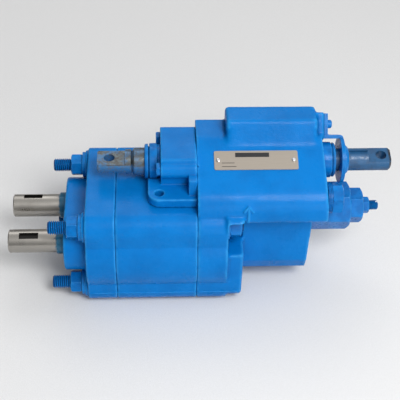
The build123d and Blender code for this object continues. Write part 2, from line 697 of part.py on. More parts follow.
def valve_cavities():
    """Ports, galleries and valve bores inside the port casting."""
    relief_mouth = RELIEF_SEAT_X
    relief_seat = relief_mouth - RELIEF_SEAT_LENGTH
    relief_bore = RELIEF_POPPET_DIAMETER / 2 + RELIEF_SEAT_WALL
    half = INLET_BLOCK_HALF_WIDTH
    gallery_end = INLET_PORT_X + INLET_GALLERY_OVERRUN
    pressure_end = OUTLET_PORT_X + PRESSURE_GALLERY_OVERRUN
    port_floor = PORT_BOSS_FACE - PORT_DEPTH
    port_mouth = PORT_BOSS_FACE + 1
    cavities = [
        rod(SPOOL_BORE_RADIUS, CHAMBER_END - 1, VALVE_END + 1, SPOOL_OFFSET, SPOOL_Z),
        bore_along_y(OUTLET_PORT_RADIUS, OUTLET_PORT_X, SPOOL_Z, port_floor, port_mouth),
        bore_along_y(TANK_PORT_RADIUS, TANK_PORT_X, SPOOL_Z, port_floor, port_mouth),
        bore_along_y(VALVE_GALLERY_RADIUS, OUTLET_PORT_X, SPOOL_Z, SPOOL_OFFSET, PORT_BOSS_FACE),
        bore_along_y(VALVE_GALLERY_RADIUS, TANK_PORT_X, SPOOL_Z, SPOOL_OFFSET, PORT_BOSS_FACE),
        bore_along_y(INLET_PORT_RADIUS, INLET_PORT_X, INLET_PORT_Z, half - INLET_PORT_DEPTH, half + 1),
        rod(INLET_GALLERY_RADIUS, CHAMBER_END - 1, gallery_end, 0, INLET_GALLERY_Z),
        bore_along_y(INLET_BRANCH_RADIUS, INLET_PORT_X, INLET_GALLERY_Z, 1, half - INLET_PORT_DEPTH + 1),
        rod(PRESSURE_GALLERY_RADIUS, CHAMBER_END - 1, pressure_end, 0, RELIEF_Z),
        rod(RELIEF_SEAT_BORE / 2, OUTLET_PORT_X, relief_seat + 1, RELIEF_Y, RELIEF_Z),
        rod(relief_bore, relief_seat, relief_mouth + 1, RELIEF_Y, RELIEF_Z),
        rod(RELIEF_THREAD_DIAMETER / 2 + FIT_GAP, relief_mouth, INLET_BLOCK_END + 1, RELIEF_Y, RELIEF_Z),
        rod(CHECK_BORE_DIAMETER / 2, CHECK_BORE_END, VALVE_END + 1, CHECK_Y, CHECK_Z),
        rod(CHECK_THREAD_DIAMETER / 2 + FIT_GAP, CHECK_THREAD_START, VALVE_END + 1, CHECK_Y, CHECK_Z),
        Pos(OUTLET_PORT_X, 1, (RELIEF_Z + SPOOL_Z) / 2) * Cylinder(RISER_RADIUS, SPOOL_Z - RELIEF_Z),
    ]
    for y in both_shafts():
        cavities.append(rod(BEARING_RADIUS + FIT_GAP, CHAMBER_END - 1, CHAMBER_END + BEARING_LENGTH, y))
    cavities += stud_holes(CHAMBER_END - 1, FLANGE_END + 1, upper_stud_places())
    lower = [(side * STUD_Y, -STUD_Z) for side in (-1, 1)]
    cavities += stud_holes(CHAMBER_END - 1, CHAMBER_END + TAPPED_DEPTH + 1, lower)
    cavities += dowel_holes(CHAMBER_END)
    screw_hole = BONNET_SCREW_DIAMETER / 2 + FIT_GAP
    hole_end = CHAMBER_END + BONNET_SCREW_DEPTH + 1
    for y in bonnet_screw_places():
        cavities.append(rod(screw_hole, CHAMBER_END - 1, hole_end, y, BONNET_SCREW_Z))
    return cavities


def flow_arrow():
    """Cast arrow standing a little out of the near side of the valve body."""
    shaft = Pos(0, ARROW_LENGTH / 2) * Rectangle(ARROW_STROKE, ARROW_LENGTH)
    for lean in (-ARROW_HEAD_LEAN, ARROW_HEAD_LEAN):
        barb = Pos(0, -ARROW_BARB / 2) * Rectangle(ARROW_STROKE, ARROW_BARB)
        shaft += Pos(0, ARROW_LENGTH) * Rot(0, 0, lean) * barb
    outline_plane = Plane(
        origin=(ARROW_X, VALVE_NEAR_SIDE - 5, VALVE_UNDERSIDE + ARROW_FOOT),
        x_dir=(1, 0, 0),
        z_dir=(0, -1, 0),
    )
    prism = extrude(outline_plane * shaft, -20)
    skin = across(offset(valve_section(), ARROW_RAISE), ARROW_X - ARROW_BARB, ARROW_X + ARROW_BARB)
    return prism & skin


def valve_housing():
    """Rear casting: flange, extension, inlet block and valve body in one piece."""
    casting = body_block(CHAMBER_END, FLANGE_END)
    casting += rear_extension()
    casting += inlet_block()
    casting += valve_body_block()
    for pad in port_bosses():
        casting += pad
    casting += flow_arrow()
    for cavity in nut_pockets() + valve_cavities():
        casting -= cavity
    return casting


# --- rotating pieces --------------------------------------------------------
def tooth_half_angle(radius):
    """Half the angle that an involute tooth takes up at a radius."""
    base_radius = PITCH_RADIUS * math.cos(math.radians(PRESSURE_ANGLE))
    roll = math.acos(min(1.0, base_radius / radius))
    pitch_roll = math.radians(PRESSURE_ANGLE)
    half_at_pitch = math.pi / (2 * GEAR_TEETH) - TOOTH_BACKLASH / (2 * 2 * PITCH_RADIUS)
    return half_at_pitch + math.tan(pitch_roll) - pitch_roll - (math.tan(roll) - roll)


def gear_section(turn):
    """External gear outline with involute flanks."""
    base_radius = PITCH_RADIUS * math.cos(math.radians(PRESSURE_ANGLE))
    low = max(base_radius, ROOT_RADIUS) + 0.05
    steps = 5
    section = Circle(ROOT_RADIUS)
    for tooth in range(GEAR_TEETH):
        middle = math.radians(turn) + 2 * math.pi * tooth / GEAR_TEETH
        flank = []
        for step in range(steps + 1):
            radius = low + (TIP_RADIUS - low) * step / steps
            flank.append((radius, tooth_half_angle(radius)))
        right = [(r * math.cos(middle - a), r * math.sin(middle - a)) for r, a in flank]
        left = [(r * math.cos(middle + a), r * math.sin(middle + a)) for r, a in flank]
        foot = ROOT_RADIUS * 0.96
        foot_angle = tooth_half_angle(low)
        foot_right = (foot * math.cos(middle - foot_angle), foot * math.sin(middle - foot_angle))
        foot_left = (foot * math.cos(middle + foot_angle), foot * math.sin(middle + foot_angle))
        tip = (TIP_RADIUS * math.cos(middle), TIP_RADIUS * math.sin(middle))
        outline = [
            Line(foot_right, right[0]),
            Spline(*right),
            ThreePointArc(right[-1], tip, left[-1]),
            Spline(*reversed(left)),
            Line(left[0], foot_left),
            Line(foot_left, foot_right),
        ]
        section += make_face(outline)
    return section


def gear_shaft(y, turn, key_lean):
    """Gear and shaft in one piece, keyed at its front end."""
    shaft_radius = SHAFT_DIAMETER / 2
    seal_radius = SEAL_JOURNAL_DIAMETER / 2
    rear_end = CHAMBER_END + BEARING_LENGTH - SHAFT_REAR_GAP
    shaft = turned(
        [
            (SHAFT_END_X, shaft_radius - SHAFT_CHAMFER),
            (SHAFT_END_X + SHAFT_CHAMFER, shaft_radius),
            (SEAL_JOURNAL_X, shaft_radius),
            (SEAL_JOURNAL_X, seal_radius - SHAFT_CHAMFER / 2),
            (SEAL_JOURNAL_X + SHAFT_CHAMFER / 2, seal_radius),
            (0, seal_radius),
            (0, JOURNAL_RADIUS),
            (rear_end - SHAFT_CHAMFER, JOURNAL_RADIUS),
            (rear_end, JOURNAL_RADIUS - SHAFT_CHAMFER),
        ],
    )
    seat = slab(
        (KEY_SEAT_START, KEY_SEAT_END),
        (-KEY_SEAT_WIDTH / 2, KEY_SEAT_WIDTH / 2),
        (shaft_radius - KEY_SEAT_DEPTH, shaft_radius + 2),
    )
    keyed = Rot(key_lean, 0, 0) * (shaft - seat)
    return Pos(0, y, 0) * (keyed + across(gear_section(turn), GEAR_START, GEAR_END))


def thrust_plate(start):
    """Plate that closes the tooth spaces at one end of the gears."""
    plate = across(chamber_section(-RUNNING_CLEARANCE), start, start + THRUST_PLATE_THICKNESS)
    for y in both_shafts():
        plate -= rod(JOURNAL_RADIUS + RUNNING_CLEARANCE, start - 1, start + THRUST_PLATE_THICKNESS + 1, y)
    for z in (-1, 1):
        relief = Rectangle(CENTRE_DISTANCE * 0.18, MODULE * 1.6)
        plate -= across(Pos(0, z * (MODULE * 3.2)) * relief, start - 1, start + THRUST_PLATE_THICKNESS + 1)
    return plate


def bearings(start):
    """Plain bearing bushes, one for each shaft."""
    end = start + BEARING_LENGTH - 2 * FIT_GAP
    bore = JOURNAL_RADIUS + RUNNING_CLEARANCE
    edge = BEARING_CHAMFER
    outline = [(start, BEARING_RADIUS - edge), (start + edge, BEARING_RADIUS)]
    outline += [(end - edge, BEARING_RADIUS), (end, BEARING_RADIUS - edge)]
    return [bored(outline, bore, y) for y in both_shafts()]


def shaft_seals():
    """Lip seals in the front boss."""
    start = -HUB_LENGTH + SEAL_INSET
    end = start + SEAL_LENGTH - FIT_GAP
    lip = SEAL_JOURNAL_DIAMETER / 2 + RUNNING_CLEARANCE
    seals = []
    for y in both_shafts():
        seal = bored([(start, SEAL_RADIUS), (end, SEAL_RADIUS)], lip, y)
        hollow = rod(SEAL_RADIUS - 1.6, start + 2, end + 1, y) - rod(lip + 1.4, start + 1, end + 2, y)
        seals.append(seal - hollow)
    return seals


def seal_retaining_rings():
    """Snap rings that keep the lip seals in."""
    end = -HUB_LENGTH + SEAL_INSET - FIT_GAP
    start = end - SNAP_RING_THICKNESS + 2 * FIT_GAP
    outer = SEAL_RADIUS + SNAP_RING_GROOVE - 0.1
    rings = []
    for y in both_shafts():
        ring = bored([(start, outer), (end, outer)], outer - SNAP_RING_WIDTH, y)
        gap = slab((start - 1, end + 1), (y - 3.5, y + 3.5), (-outer - 1, 0))
        rings.append(ring - gap)
    return rings


def joint_seal(start):
    """Endless seal lying in one groove of the gear housing."""
    section = joint_seal_section(FIT_GAP * 2)
    return across(section, start + FIT_GAP, start + JOINT_SEAL_DEPTH - FIT_GAP)


def dowel_pins():
    """Dowels across both joints of the body."""
    half = DOWEL_LENGTH / 2 - 0.5
    radius = DOWEL_DIAMETER / 2
    edge = DOWEL_CHAMFER
    pins = []
    for joint in (CHAMBER_START, CHAMBER_END):
        for y, z in dowel_places():
            outline = [(joint - half, radius - edge), (joint - half + edge, radius)]
            outline += [(joint + half - edge, radius), (joint + half, radius - edge)]
            pins.append(turned(outline, y, z))
    return pins


# --- clamping studs ---------------------------------------------------------
def body_studs():
    """Two studs through the whole body and two tapped into the flange."""
    studs = []
    for y, z in stud_places():
        tapped_end = CHAMBER_END + TAPPED_DEPTH
        through_end = FLANGE_END + WASHER_THICKNESS / 2 + NUT_THICKNESS + REAR_STUD_PROUD
        end = through_end if z > 0 else tapped_end
        shank = STUD_RADIUS - FIT_GAP
        outline = [
            (STUD_FRONT_X, STUD_RADIUS - STUD_CHAMFER),
            (STUD_FRONT_X + STUD_CHAMFER, STUD_RADIUS),
            (BRACKET_SEAT_X, STUD_RADIUS),
            (BRACKET_SEAT_X, shank),
            (end - STUD_CHAMFER, shank),
            (end, shank - STUD_CHAMFER),
        ]
        studs.append(turned(outline, y, z))
    return studs


def washer(start, thickness, y, z):
    """Flat washer on a stud."""
    outline = [(start, WASHER_RADIUS), (start + thickness, WASHER_RADIUS)]
    return bored(outline, STUD_RADIUS + STUD_CLEARANCE, y, z)


def nut(start, y, z, turn):
    """Hexagon nut on a stud."""
    body = hex_bar(NUT_ACROSS_FLATS, start, start + NUT_THICKNESS, y, z, turn)
    return body - rod(STUD_RADIUS + FIT_GAP, start - 1, start + NUT_THICKNESS + 1, y, z)


def stud_washers():
    """Washers under the front nuts."""
    return [washer(-WASHER_THICKNESS, WASHER_THICKNESS, y, z) for y, z in stud_places()]


def stud_nuts():
    """Front nuts, each stopped at its own angle."""
    return [nut(BRACKET_SEAT_X, y, z, turn) for (y, z), turn in zip(stud_places(), NUT_TURNS)]


def rear_washers():
    """Thin washers behind the flange."""
    return [washer(FLANGE_END, WASHER_THICKNESS / 2, y, z) for y, z in upper_stud_places()]


def rear_nuts():
    """Nuts in the pockets under the valve body."""
    start = FLANGE_END + WASHER_THICKNESS / 2
    return [nut(start, y, z, REAR_NUT_TURN) for y, z in upper_stud_places()]


# --- spool and what guides it -----------------------------------------------
def spool():
    """Valve spool with a flat eye at each end and three notched lands."""
    front = SPOOL_FRONT_RADIUS
    groove = SPOOL_LEFT_X + FRONT_GROOVE_SET
    outline = [
        (SPOOL_LEFT_X, front - 1.5),
        (SPOOL_LEFT_X + 1.5, front),
        (groove - 1.0, front),
        (groove, front - 2.0),
        (groove + 1.0, front),
        (WIPER_START - SPOOL_TRAVEL - 1, front),
        (WIPER_START - SPOOL_TRAVEL, SPOOL_RADIUS),
    ]
    neck = SPOOL_RADIUS - SPOOL_LAND_GROOVE
    for middle in (OUTLET_PORT_X - SPOOL_FIRST_NOTCH_SET, OUTLET_PORT_X + PORT_SPREAD / 2, TANK_PORT_X):
        half = SPOOL_NOTCH_WIDTH / 2
        outline += [(middle - half, SPOOL_RADIUS), (middle - half, neck)]
        outline += [(middle + half, neck), (middle + half, SPOOL_RADIUS)]
    shoulder = TAIL_SEAL_X - SPOOL_TRAVEL - 1
    outline += [
        (shoulder, SPOOL_RADIUS),
        (shoulder, TAIL_RADIUS),
        (SPOOL_RIGHT_X - 2, TAIL_RADIUS),
        (SPOOL_RIGHT_X, TAIL_RADIUS - 2),
    ]
    bar = turned(outline)
    front_end = SPOOL_LEFT_X + FRONT_EYE_LENGTH
    for side in (-1, 1):
        low = side * FRONT_EYE_THICKNESS / 2
        high = side * (front + 1)
        bar -= slab((SPOOL_LEFT_X - 1, front_end), (-front - 1, front + 1), (min(low, high), max(low, high)))
    bar -= Pos(SPOOL_LEFT_X + FRONT_EYE_HOLE_SET, 0, 0) * Cylinder(EYE_HOLE_DIAMETER / 2, 2 * front)
    tail_start = SPOOL_RIGHT_X - TAIL_EYE_LENGTH
    tail_cuts = []
    for side in (-1, 1):
        low = side * TAIL_EYE_THICKNESS / 2
        high = side * (TAIL_RADIUS + 1)
        y_range = (-TAIL_RADIUS - 1, TAIL_RADIUS + 1)
        tail_cuts.append(slab((tail_start, SPOOL_RIGHT_X + 1), y_range, (min(low, high), max(low, high))))
    tail_hole = SPOOL_RIGHT_X - TAIL_EYE_HOLE_SET
    tail_cuts.append(Pos(tail_hole, 0, 0) * Cylinder(EYE_HOLE_DIAMETER / 2, 4 * TAIL_RADIUS))
    slot_start = RING_X + PLATE_THICKNESS + BUSH_FLANGE_LENGTH + 1
    slot_floor = TAIL_RADIUS - TAIL_SLOT_DEPTH
    slot_y = (-TAIL_SLOT_WIDTH / 2, TAIL_SLOT_WIDTH / 2)
    tail_cuts.append(slab((slot_start, tail_start + 1), slot_y, (slot_floor, TAIL_RADIUS + 1)))
    for cut in tail_cuts:
        bar -= Rot(TAIL_EYE_LEAN, 0, 0) * cut
    return Pos(0, SPOOL_OFFSET, SPOOL_Z) * bar


def bonnet_screw_places():
    """Places across the pump of the two bonnet screws."""
    return [SPOOL_OFFSET - BONNET_SCREW_REACH, SPOOL_OFFSET + BONNET_SCREW_REACH]


def spool_bonnet():
    """End block round the front of the spool, with a foot for the control bracket."""
    low = FOOT_TOP - FOOT_THICKNESS
    block = slab((BONNET_START, CHAMBER_END), (BONNET_NEAR_Y, BONNET_FAR_Y), (low, BONNET_TOP))
    block = fillet(block.edges().filter_by(Axis.X).sort_by(Axis.Z)[-2:], BONNET_CORNER)
    for y in bonnet_screw_places():
        block += rod(BONNET_LUG_RADIUS, BONNET_START, CHAMBER_END, y, BONNET_SCREW_Z)
    rib = (CHAMBER_END - BONNET_RIB_LENGTH, CHAMBER_END)
    block += slab(rib, (SPOOL_OFFSET - BONNET_RIB_REACH, SPOOL_OFFSET), (low, BONNET_SCREW_Z))
    foot_y = (SPOOL_OFFSET - FOOT_NEAR_REACH, FOOT_FAR_Y)
    foot = slab((FOOT_START, CHAMBER_END), foot_y, (low, FOOT_TOP))
    corners = foot.edges().filter_by(Axis.Z).sort_by(Axis.X)[:2]
    foot = fillet(corners, FOOT_CORNER)
    cut_y = (SPOOL_OFFSET - FOOT_CUT_REACH, BONNET_FAR_Y)
    foot -= slab((FOOT_START - 1, BONNET_START), cut_y, (low - 1, FOOT_TOP + 1))
    block += foot
    block -= rod(SPOOL_BORE_RADIUS, FOOT_START - 1, CHAMBER_END + 1, SPOOL_OFFSET, SPOOL_Z)
    retainer_gap = RETAINER_RADIUS + RETAINER_GAP
    block -= rod(retainer_gap, FOOT_START - 1, BONNET_START, SPOOL_OFFSET, SPOOL_Z)
    seal_start = BONNET_START + BONNET_SEAL_INSET
    block -= rod(
        SPOOL_RADIUS + SPOOL_SEAL_WALL,
        seal_start,
        seal_start + SPOOL_SEAL_WIDTH,
        SPOOL_OFFSET,
        SPOOL_Z,
    )
    foot_hole = Pos(FOOT_START + FOOT_HOLE_SET, SPOOL_OFFSET - FOOT_HOLE_REACH, 0)
    block -= foot_hole * Cylinder(FOOT_HOLE_DIAMETER / 2, 4 * FOOT_TOP)
    screw_hole = BONNET_SCREW_DIAMETER / 2 + BONNET_SCREW_CLEARANCE
    for y in bonnet_screw_places():
        block -= rod(screw_hole, BONNET_START - 1, CHAMBER_END + 1, y, BONNET_SCREW_Z)
    return block


def bonnet_screws():
    """Cap screws that hold the bonnet to the port casting."""
    radius = BONNET_SCREW_DIAMETER / 2
    head_start = BONNET_START - BONNET_SCREW_HEAD_HEIGHT
    end = CHAMBER_END + BONNET_SCREW_DEPTH
    screws = []
    for y in bonnet_screw_places():
        place = (y, BONNET_SCREW_Z, BONNET_SCREW_TURN)
        head = hex_bar(BONNET_SCREW_HEAD_FLATS, head_start, BONNET_START, *place, True, False)
        screws.append(head + rod(radius, BONNET_START - 0.5, end, y, BONNET_SCREW_Z))
    return screws


def bonnet_seal():
    """Ring seal round the spool, in a groove of the bonnet."""
    start = BONNET_START + BONNET_SEAL_INSET
    outer = SPOOL_RADIUS + SPOOL_SEAL_WALL - FIT_GAP
    outline = [(start + FIT_GAP, outer), (start + SPOOL_SEAL_WIDTH - FIT_GAP, outer)]
    return bored(outline, SPOOL_BORE_RADIUS, SPOOL_OFFSET, SPOOL_Z)


def seal_retainer():
    """Grooved ring pressed over the spool in front of the bonnet."""
    outline = [
        (RETAINER_START, RETAINER_RADIUS - 0.8),
        (RETAINER_START + 0.8, RETAINER_RADIUS),
        (BONNET_START - RETAINER_NECK, RETAINER_RADIUS),
        (BONNET_START - RETAINER_NECK, RETAINER_RADIUS - 1),
        (BONNET_START, RETAINER_RADIUS - 1),
    ]
    return bored(outline, SPOOL_BORE_RADIUS, SPOOL_OFFSET, SPOOL_Z)


def wiper_disc():
    """Thin disc that scrapes the spool."""
    end = WIPER_START + WIPER_THICKNESS
    rim = RETAINER_RADIUS - 0.6
    spigot = RETAINER_RADIUS - 3
    outline = [(WIPER_START, rim - 1), (WIPER_START + 1, rim)]
    outline += [(end, rim), (end, spigot), (RETAINER_START, spigot)]
    return bored(outline, SPOOL_BORE_RADIUS, SPOOL_OFFSET, SPOOL_Z)


def tail_cap():
    """Cap round the tail of the spool, behind the port casting."""
    end = VALVE_END + TAIL_CAP_LENGTH
    radius = TAIL_CAP_RADIUS
    groove = VALVE_END + TAIL_CAP_LENGTH * TAIL_CAP_GROOVE_SHARE
    lip = TAIL_CAP_GROOVE
    outline = [
        (TAIL_CAP_SEAT_X, radius),
        (groove, radius),
        (groove, radius - lip),
        (groove + 1.8, radius - lip),
        (groove + 1.8, radius - 0.7),
        (end - 0.8, radius - 0.7),
        (end, radius - 1.5),
    ]
    return bored(outline, TAIL_RADIUS + RUNNING_CLEARANCE, SPOOL_OFFSET, SPOOL_Z)


def tail_cap_pocket():
    """Counterbore in the port casting that seats the tail cap."""
    return rod(TAIL_CAP_RADIUS + FIT_GAP, TAIL_CAP_SEAT_X, VALVE_END + 1, SPOOL_OFFSET, SPOOL_Z)


def tail_seal_groove():
    """Groove for the tail seal, open to the tail cap."""
    end = TAIL_CAP_SEAT_X + TAIL_CAP_SEAT_DEPTH / 2
    return rod(SPOOL_RADIUS + SPOOL_SEAL_WALL, TAIL_SEAL_X, end, SPOOL_OFFSET, SPOOL_Z)


def tail_seal():
    """Ring seal round the tail of the spool."""
    start = TAIL_SEAL_X
    outer = SPOOL_RADIUS + SPOOL_SEAL_WALL - FIT_GAP
    outline = [(start + FIT_GAP, outer), (start + SPOOL_SEAL_WIDTH - FIT_GAP, outer)]
    return bored(outline, TAIL_RADIUS + RUNNING_CLEARANCE, SPOOL_OFFSET, SPOOL_Z)


def stop_bracket():
    """Bent plate: foot on the casting, strap over the cap, ring round the spool."""
    half = STRAP_WIDTH / 2
    bottom = STRAP_RADIUS
    top = bottom + PLATE_THICKNESS
    ring_end = RING_X + PLATE_THICKNESS
    foot_top = top + BRACKET_FOOT_LENGTH
    face = VALVE_END
    outline = Polyline(
        (face, 0, bottom),
        (ring_end, 0, bottom),
        (ring_end, 0, top),
        (face + PLATE_THICKNESS, 0, top),
        (face + PLATE_THICKNESS, 0, foot_top),
        (face, 0, foot_top),
        close=True,
    )
    strap = extrude(make_face(outline), half, both=True)
    corner = strap.edges().filter_by(Axis.Y).sort_by_distance((ring_end, 0, top))[0]
    strap = fillet(corner, STRAP_BEND)
    inner = strap.edges().filter_by(Axis.Y).sort_by_distance((face + PLATE_THICKNESS, 0, top))[0]
    strap = fillet(inner, STRAP_BEND / 2)
    ring = rod(TAIL_RADIUS + RING_WALL, RING_X, ring_end)
    bracket = strap + ring
    bracket -= rod(TAIL_RADIUS + BUSH_SPIGOT_WALL, RING_X - 1, ring_end + 1)
    screw_hole = BRACKET_SCREW_DIAMETER / 2 + STUD_CLEARANCE
    bracket -= rod(screw_hole, face - 1, face + PLATE_THICKNESS + 1, 0, BRACKET_SCREW_REACH)
    return Pos(0, SPOOL_OFFSET, SPOOL_Z) * Rot(-STRAP_LEAN, 0, 0) * bracket


def bracket_foot_pad():
    """Machined pad on the leaning face of the casting, under the bracket's foot."""
    half = STRAP_WIDTH / 2 + 1
    bottom = STRAP_RADIUS - 1
    top = STRAP_RADIUS + PLATE_THICKNESS + BRACKET_FOOT_LENGTH + 1
    pad = slab((VALVE_END - BRACKET_PAD_DEPTH, VALVE_END), (-half, half), (bottom, top))
    return Pos(0, SPOOL_OFFSET, SPOOL_Z) * Rot(-STRAP_LEAN, 0, 0) * pad


def bracket_screw_hole():
    """Tapped hole for the bracket screw."""
    radius = BRACKET_SCREW_DIAMETER / 2 + FIT_GAP
    hole = rod(radius, VALVE_END - BRACKET_HOLE_DEPTH, VALVE_END + 1, 0, BRACKET_SCREW_REACH)
    return Pos(0, SPOOL_OFFSET, SPOOL_Z) * Rot(-STRAP_LEAN, 0, 0) * hole


def bracket_screw():
    """Round-headed screw through the bracket's foot."""
    seat = VALVE_END + PLATE_THICKNESS
    z = BRACKET_SCREW_REACH
    head = BRACKET_SCREW_HEAD / 2
    end = seat + BRACKET_SCREW_HEAD_HEIGHT
    outline = [(seat, head), (end - 1, head), (end, head - 1)]
    tip = VALVE_END - BRACKET_HOLE_DEPTH + 1
    screw = turned(outline, 0, z) + rod(BRACKET_SCREW_DIAMETER / 2, tip, seat + 0.5, 0, z)
    slot = slab((end - 1.6, end + 1), (-0.6, 0.6), (z - head - 1, z + head + 1))
    return Pos(0, SPOOL_OFFSET, SPOOL_Z) * Rot(-STRAP_LEAN, 0, 0) * (screw - slot)


def guide_bush():
    """Flanged bush in the bracket's ring that guides the spool's tail."""
    spigot = TAIL_RADIUS + BUSH_SPIGOT_WALL - FIT_GAP
    flange = TAIL_RADIUS + BUSH_FLANGE_WALL
    seat = RING_X + PLATE_THICKNESS
    end = seat + BUSH_FLANGE_LENGTH
    outline = [
        (RING_X, spigot),
        (seat, spigot),
        (seat, flange),
        (end - 2, flange),
        (end, flange - 2),
    ]
    return bored(outline, TAIL_RADIUS + RUNNING_CLEARANCE, SPOOL_OFFSET, SPOOL_Z)


# --- relief valve -----------------------------------------------------------
def relief_body():
    """Large hexagon body screwed into the inlet block."""
    end = RELIEF_BODY_END
    body = hex_bar(RELIEF_BODY_FLATS, INLET_BLOCK_END, end, RELIEF_Y, RELIEF_Z, 0, False, True)
    start = RELIEF_SEAT_X
    body += rod(RELIEF_THREAD_DIAMETER / 2, start, INLET_BLOCK_END + 1, RELIEF_Y, RELIEF_Z)
    body -= rod(RELIEF_SPRING_BORE / 2, start - 1, end + 1, RELIEF_Y, RELIEF_Z)
    spigot_hole = end - RELIEF_CAP_SPIGOT - 1
    body -= rod(RELIEF_SPIGOT_RADIUS, spigot_hole, end + 1, RELIEF_Y, RELIEF_Z)
    return body


def relief_cap():
    """Smaller hexagon cap that carries the adjusting screw."""
    start = RELIEF_BODY_END
    end = start + RELIEF_CAP_LENGTH
    cap = hex_bar(RELIEF_CAP_FLATS, start, end, RELIEF_Y, RELIEF_Z, 0, False, True)
    spigot = start - RELIEF_CAP_SPIGOT
    cap += rod(RELIEF_SPIGOT_RADIUS - FIT_GAP, spigot, start + 1, RELIEF_Y, RELIEF_Z)
    cap -= rod(RELIEF_SPRING_BORE / 2, spigot - 1, start, RELIEF_Y, RELIEF_Z)
    return cap - rod(ADJUSTER_DIAMETER / 2 + RUNNING_CLEARANCE, spigot - 1, end + 1, RELIEF_Y, RELIEF_Z)


def lock_nut():
    """Nut that locks the adjusting screw."""
    start = RELIEF_BODY_END + RELIEF_CAP_LENGTH
    end = start + LOCK_NUT_THICKNESS
    body = hex_bar(LOCK_NUT_FLATS, start, end, RELIEF_Y, RELIEF_Z, 0)
    return body - rod(ADJUSTER_DIAMETER / 2 + RUNNING_CLEARANCE, start - 1, end + 1, RELIEF_Y, RELIEF_Z)


def adjusting_screw():
    """Screw that sets the relief spring, slotted at its outer end."""
    start = SPRING_SEAT_X + SPRING_SEAT_THICKNESS + FIT_GAP * 20
    end = RELIEF_BODY_END + RELIEF_CAP_LENGTH + LOCK_NUT_THICKNESS + ADJUSTER_PROUD
    radius = ADJUSTER_DIAMETER / 2
    outline = [(start, radius - 1.5), (start + 1.5, radius), (end - 1.2, radius), (end, radius - 1.2)]
    screw = turned(outline, RELIEF_Y, RELIEF_Z)
    half = ADJUSTER_SLOT_WIDTH / 2
    slot_y = (RELIEF_Y - half, RELIEF_Y + half)
    slot_z = (RELIEF_Z - radius - 1, RELIEF_Z + radius + 1)
    return screw - slab((end - ADJUSTER_SLOT_DEPTH, end + 1), slot_y, slot_z)


def relief_spring_seat():
    """Button between the spring and the adjusting screw."""
    start = SPRING_SEAT_X
    radius = RELIEF_SPRING_DIAMETER / 2 + 0.5
    pilot = SPRING_PILOT_RADIUS
    outline = [(start - PILOT_LENGTH, pilot), (start, pilot)]
    outline += [(start, radius), (start + SPRING_SEAT_THICKNESS, radius)]
    return turned(outline, RELIEF_Y, RELIEF_Z)


def relief_poppet():
    """Cone poppet held on its seat by the spring."""
    seat = RELIEF_SEAT_X
    radius = RELIEF_POPPET_DIAMETER / 2
    skirt = seat + RELIEF_POPPET_LENGTH
    outline = [
        (seat - 3.2, 1.2),
        (seat + 2.2, radius),
        (skirt - 3, radius),
        (skirt - 3, RELIEF_SPRING_DIAMETER / 2),
        (skirt, RELIEF_SPRING_DIAMETER / 2),
        (skirt, SPRING_PILOT_RADIUS),
        (skirt + PILOT_LENGTH, SPRING_PILOT_RADIUS),
    ]
    return turned(outline, RELIEF_Y, RELIEF_Z)


def relief_seat():
    """Hardened seat ring at the bottom of the relief bore."""
    end = RELIEF_SEAT_X - FIT_GAP
    start = end - RELIEF_SEAT_LENGTH + 2 * FIT_GAP
    outer = RELIEF_POPPET_DIAMETER / 2 + RELIEF_SEAT_WALL - FIT_GAP
    ring = bored([(start, outer), (end, outer)], RELIEF_SEAT_BORE / 2, RELIEF_Y, RELIEF_Z)
    cone = turned([(end - 4.5, 0.6), (end + 0.5, 5.4)], RELIEF_Y, RELIEF_Z)
    return ring - cone


def relief_spring():
    """Main relief spring."""
    start = RELIEF_SEAT_X + RELIEF_POPPET_LENGTH + SPRING_END_GAP
    end = SPRING_SEAT_X - SPRING_END_GAP
    wire = RELIEF_SPRING_WIRE
    return coil(wire, RELIEF_SPRING_DIAMETER, start, end, RELIEF_SPRING_TURNS, RELIEF_Y, RELIEF_Z)


# --- load check valve -------------------------------------------------------
def check_plug():
    """Hexagon plug that closes the load check bore."""
    hex_start = VALVE_END + CHECK_COLLAR_LENGTH
    hex_end = hex_start + CHECK_PLUG_HEX_LENGTH
    plug = hex_bar(CHECK_PLUG_FLATS, hex_start, hex_end, CHECK_Y, CHECK_Z, 30, False, True)
    radius = CHECK_COLLAR_RADIUS
    ribs = [(VALVE_END, radius)]
    pitch = CHECK_COLLAR_LENGTH / 3
    for rib in range(3):
        base = VALVE_END + rib * pitch
        ribs += [(base + 0.35 * pitch, radius), (base + 0.35 * pitch, radius - 1.0)]
        ribs += [(base + 0.8 * pitch, radius - 1.0), (base + 0.8 * pitch, radius)]
    ribs.append((hex_start, radius))
    plug += turned(ribs, CHECK_Y, CHECK_Z)
    thread_end = CHECK_THREAD_START
    plug += rod(CHECK_THREAD_DIAMETER / 2, thread_end, VALVE_END + 0.5, CHECK_Y, CHECK_Z)
    spring_room = CHECK_SPRING_DIAMETER / 2 + 0.5
    plug -= rod(spring_room, thread_end - 1, VALVE_END - CHECK_PLUG_FLOOR, CHECK_Y, CHECK_Z)
    return plug


def check_poppet():
    """Cup poppet that holds the load."""
    start = CHECK_BORE_END + CHECK_POPPET_GAP
    radius = CHECK_BORE_DIAMETER / 2 - RUNNING_CLEARANCE
    end = start + CHECK_POPPET_LENGTH
    outline = [(start, radius - 4), (start + 4, radius), (end, radius)]
    body = turned(outline, CHECK_Y, CHECK_Z)
    return body - rod(CHECK_SPRING_DIAMETER / 2 + 0.5, start + CHECK_POPPET_FLOOR, end + 1, CHECK_Y, CHECK_Z)


def check_spring():
    """Light spring behind the check poppet."""
    start = CHECK_BORE_END + CHECK_POPPET_GAP + CHECK_POPPET_FLOOR + 2 * SPRING_END_GAP
    end = VALVE_END - CHECK_PLUG_FLOOR - SPRING_END_GAP
    return coil(CHECK_SPRING_WIRE, CHECK_SPRING_DIAMETER, start, end, CHECK_SPRING_TURNS, CHECK_Y, CHECK_Z)


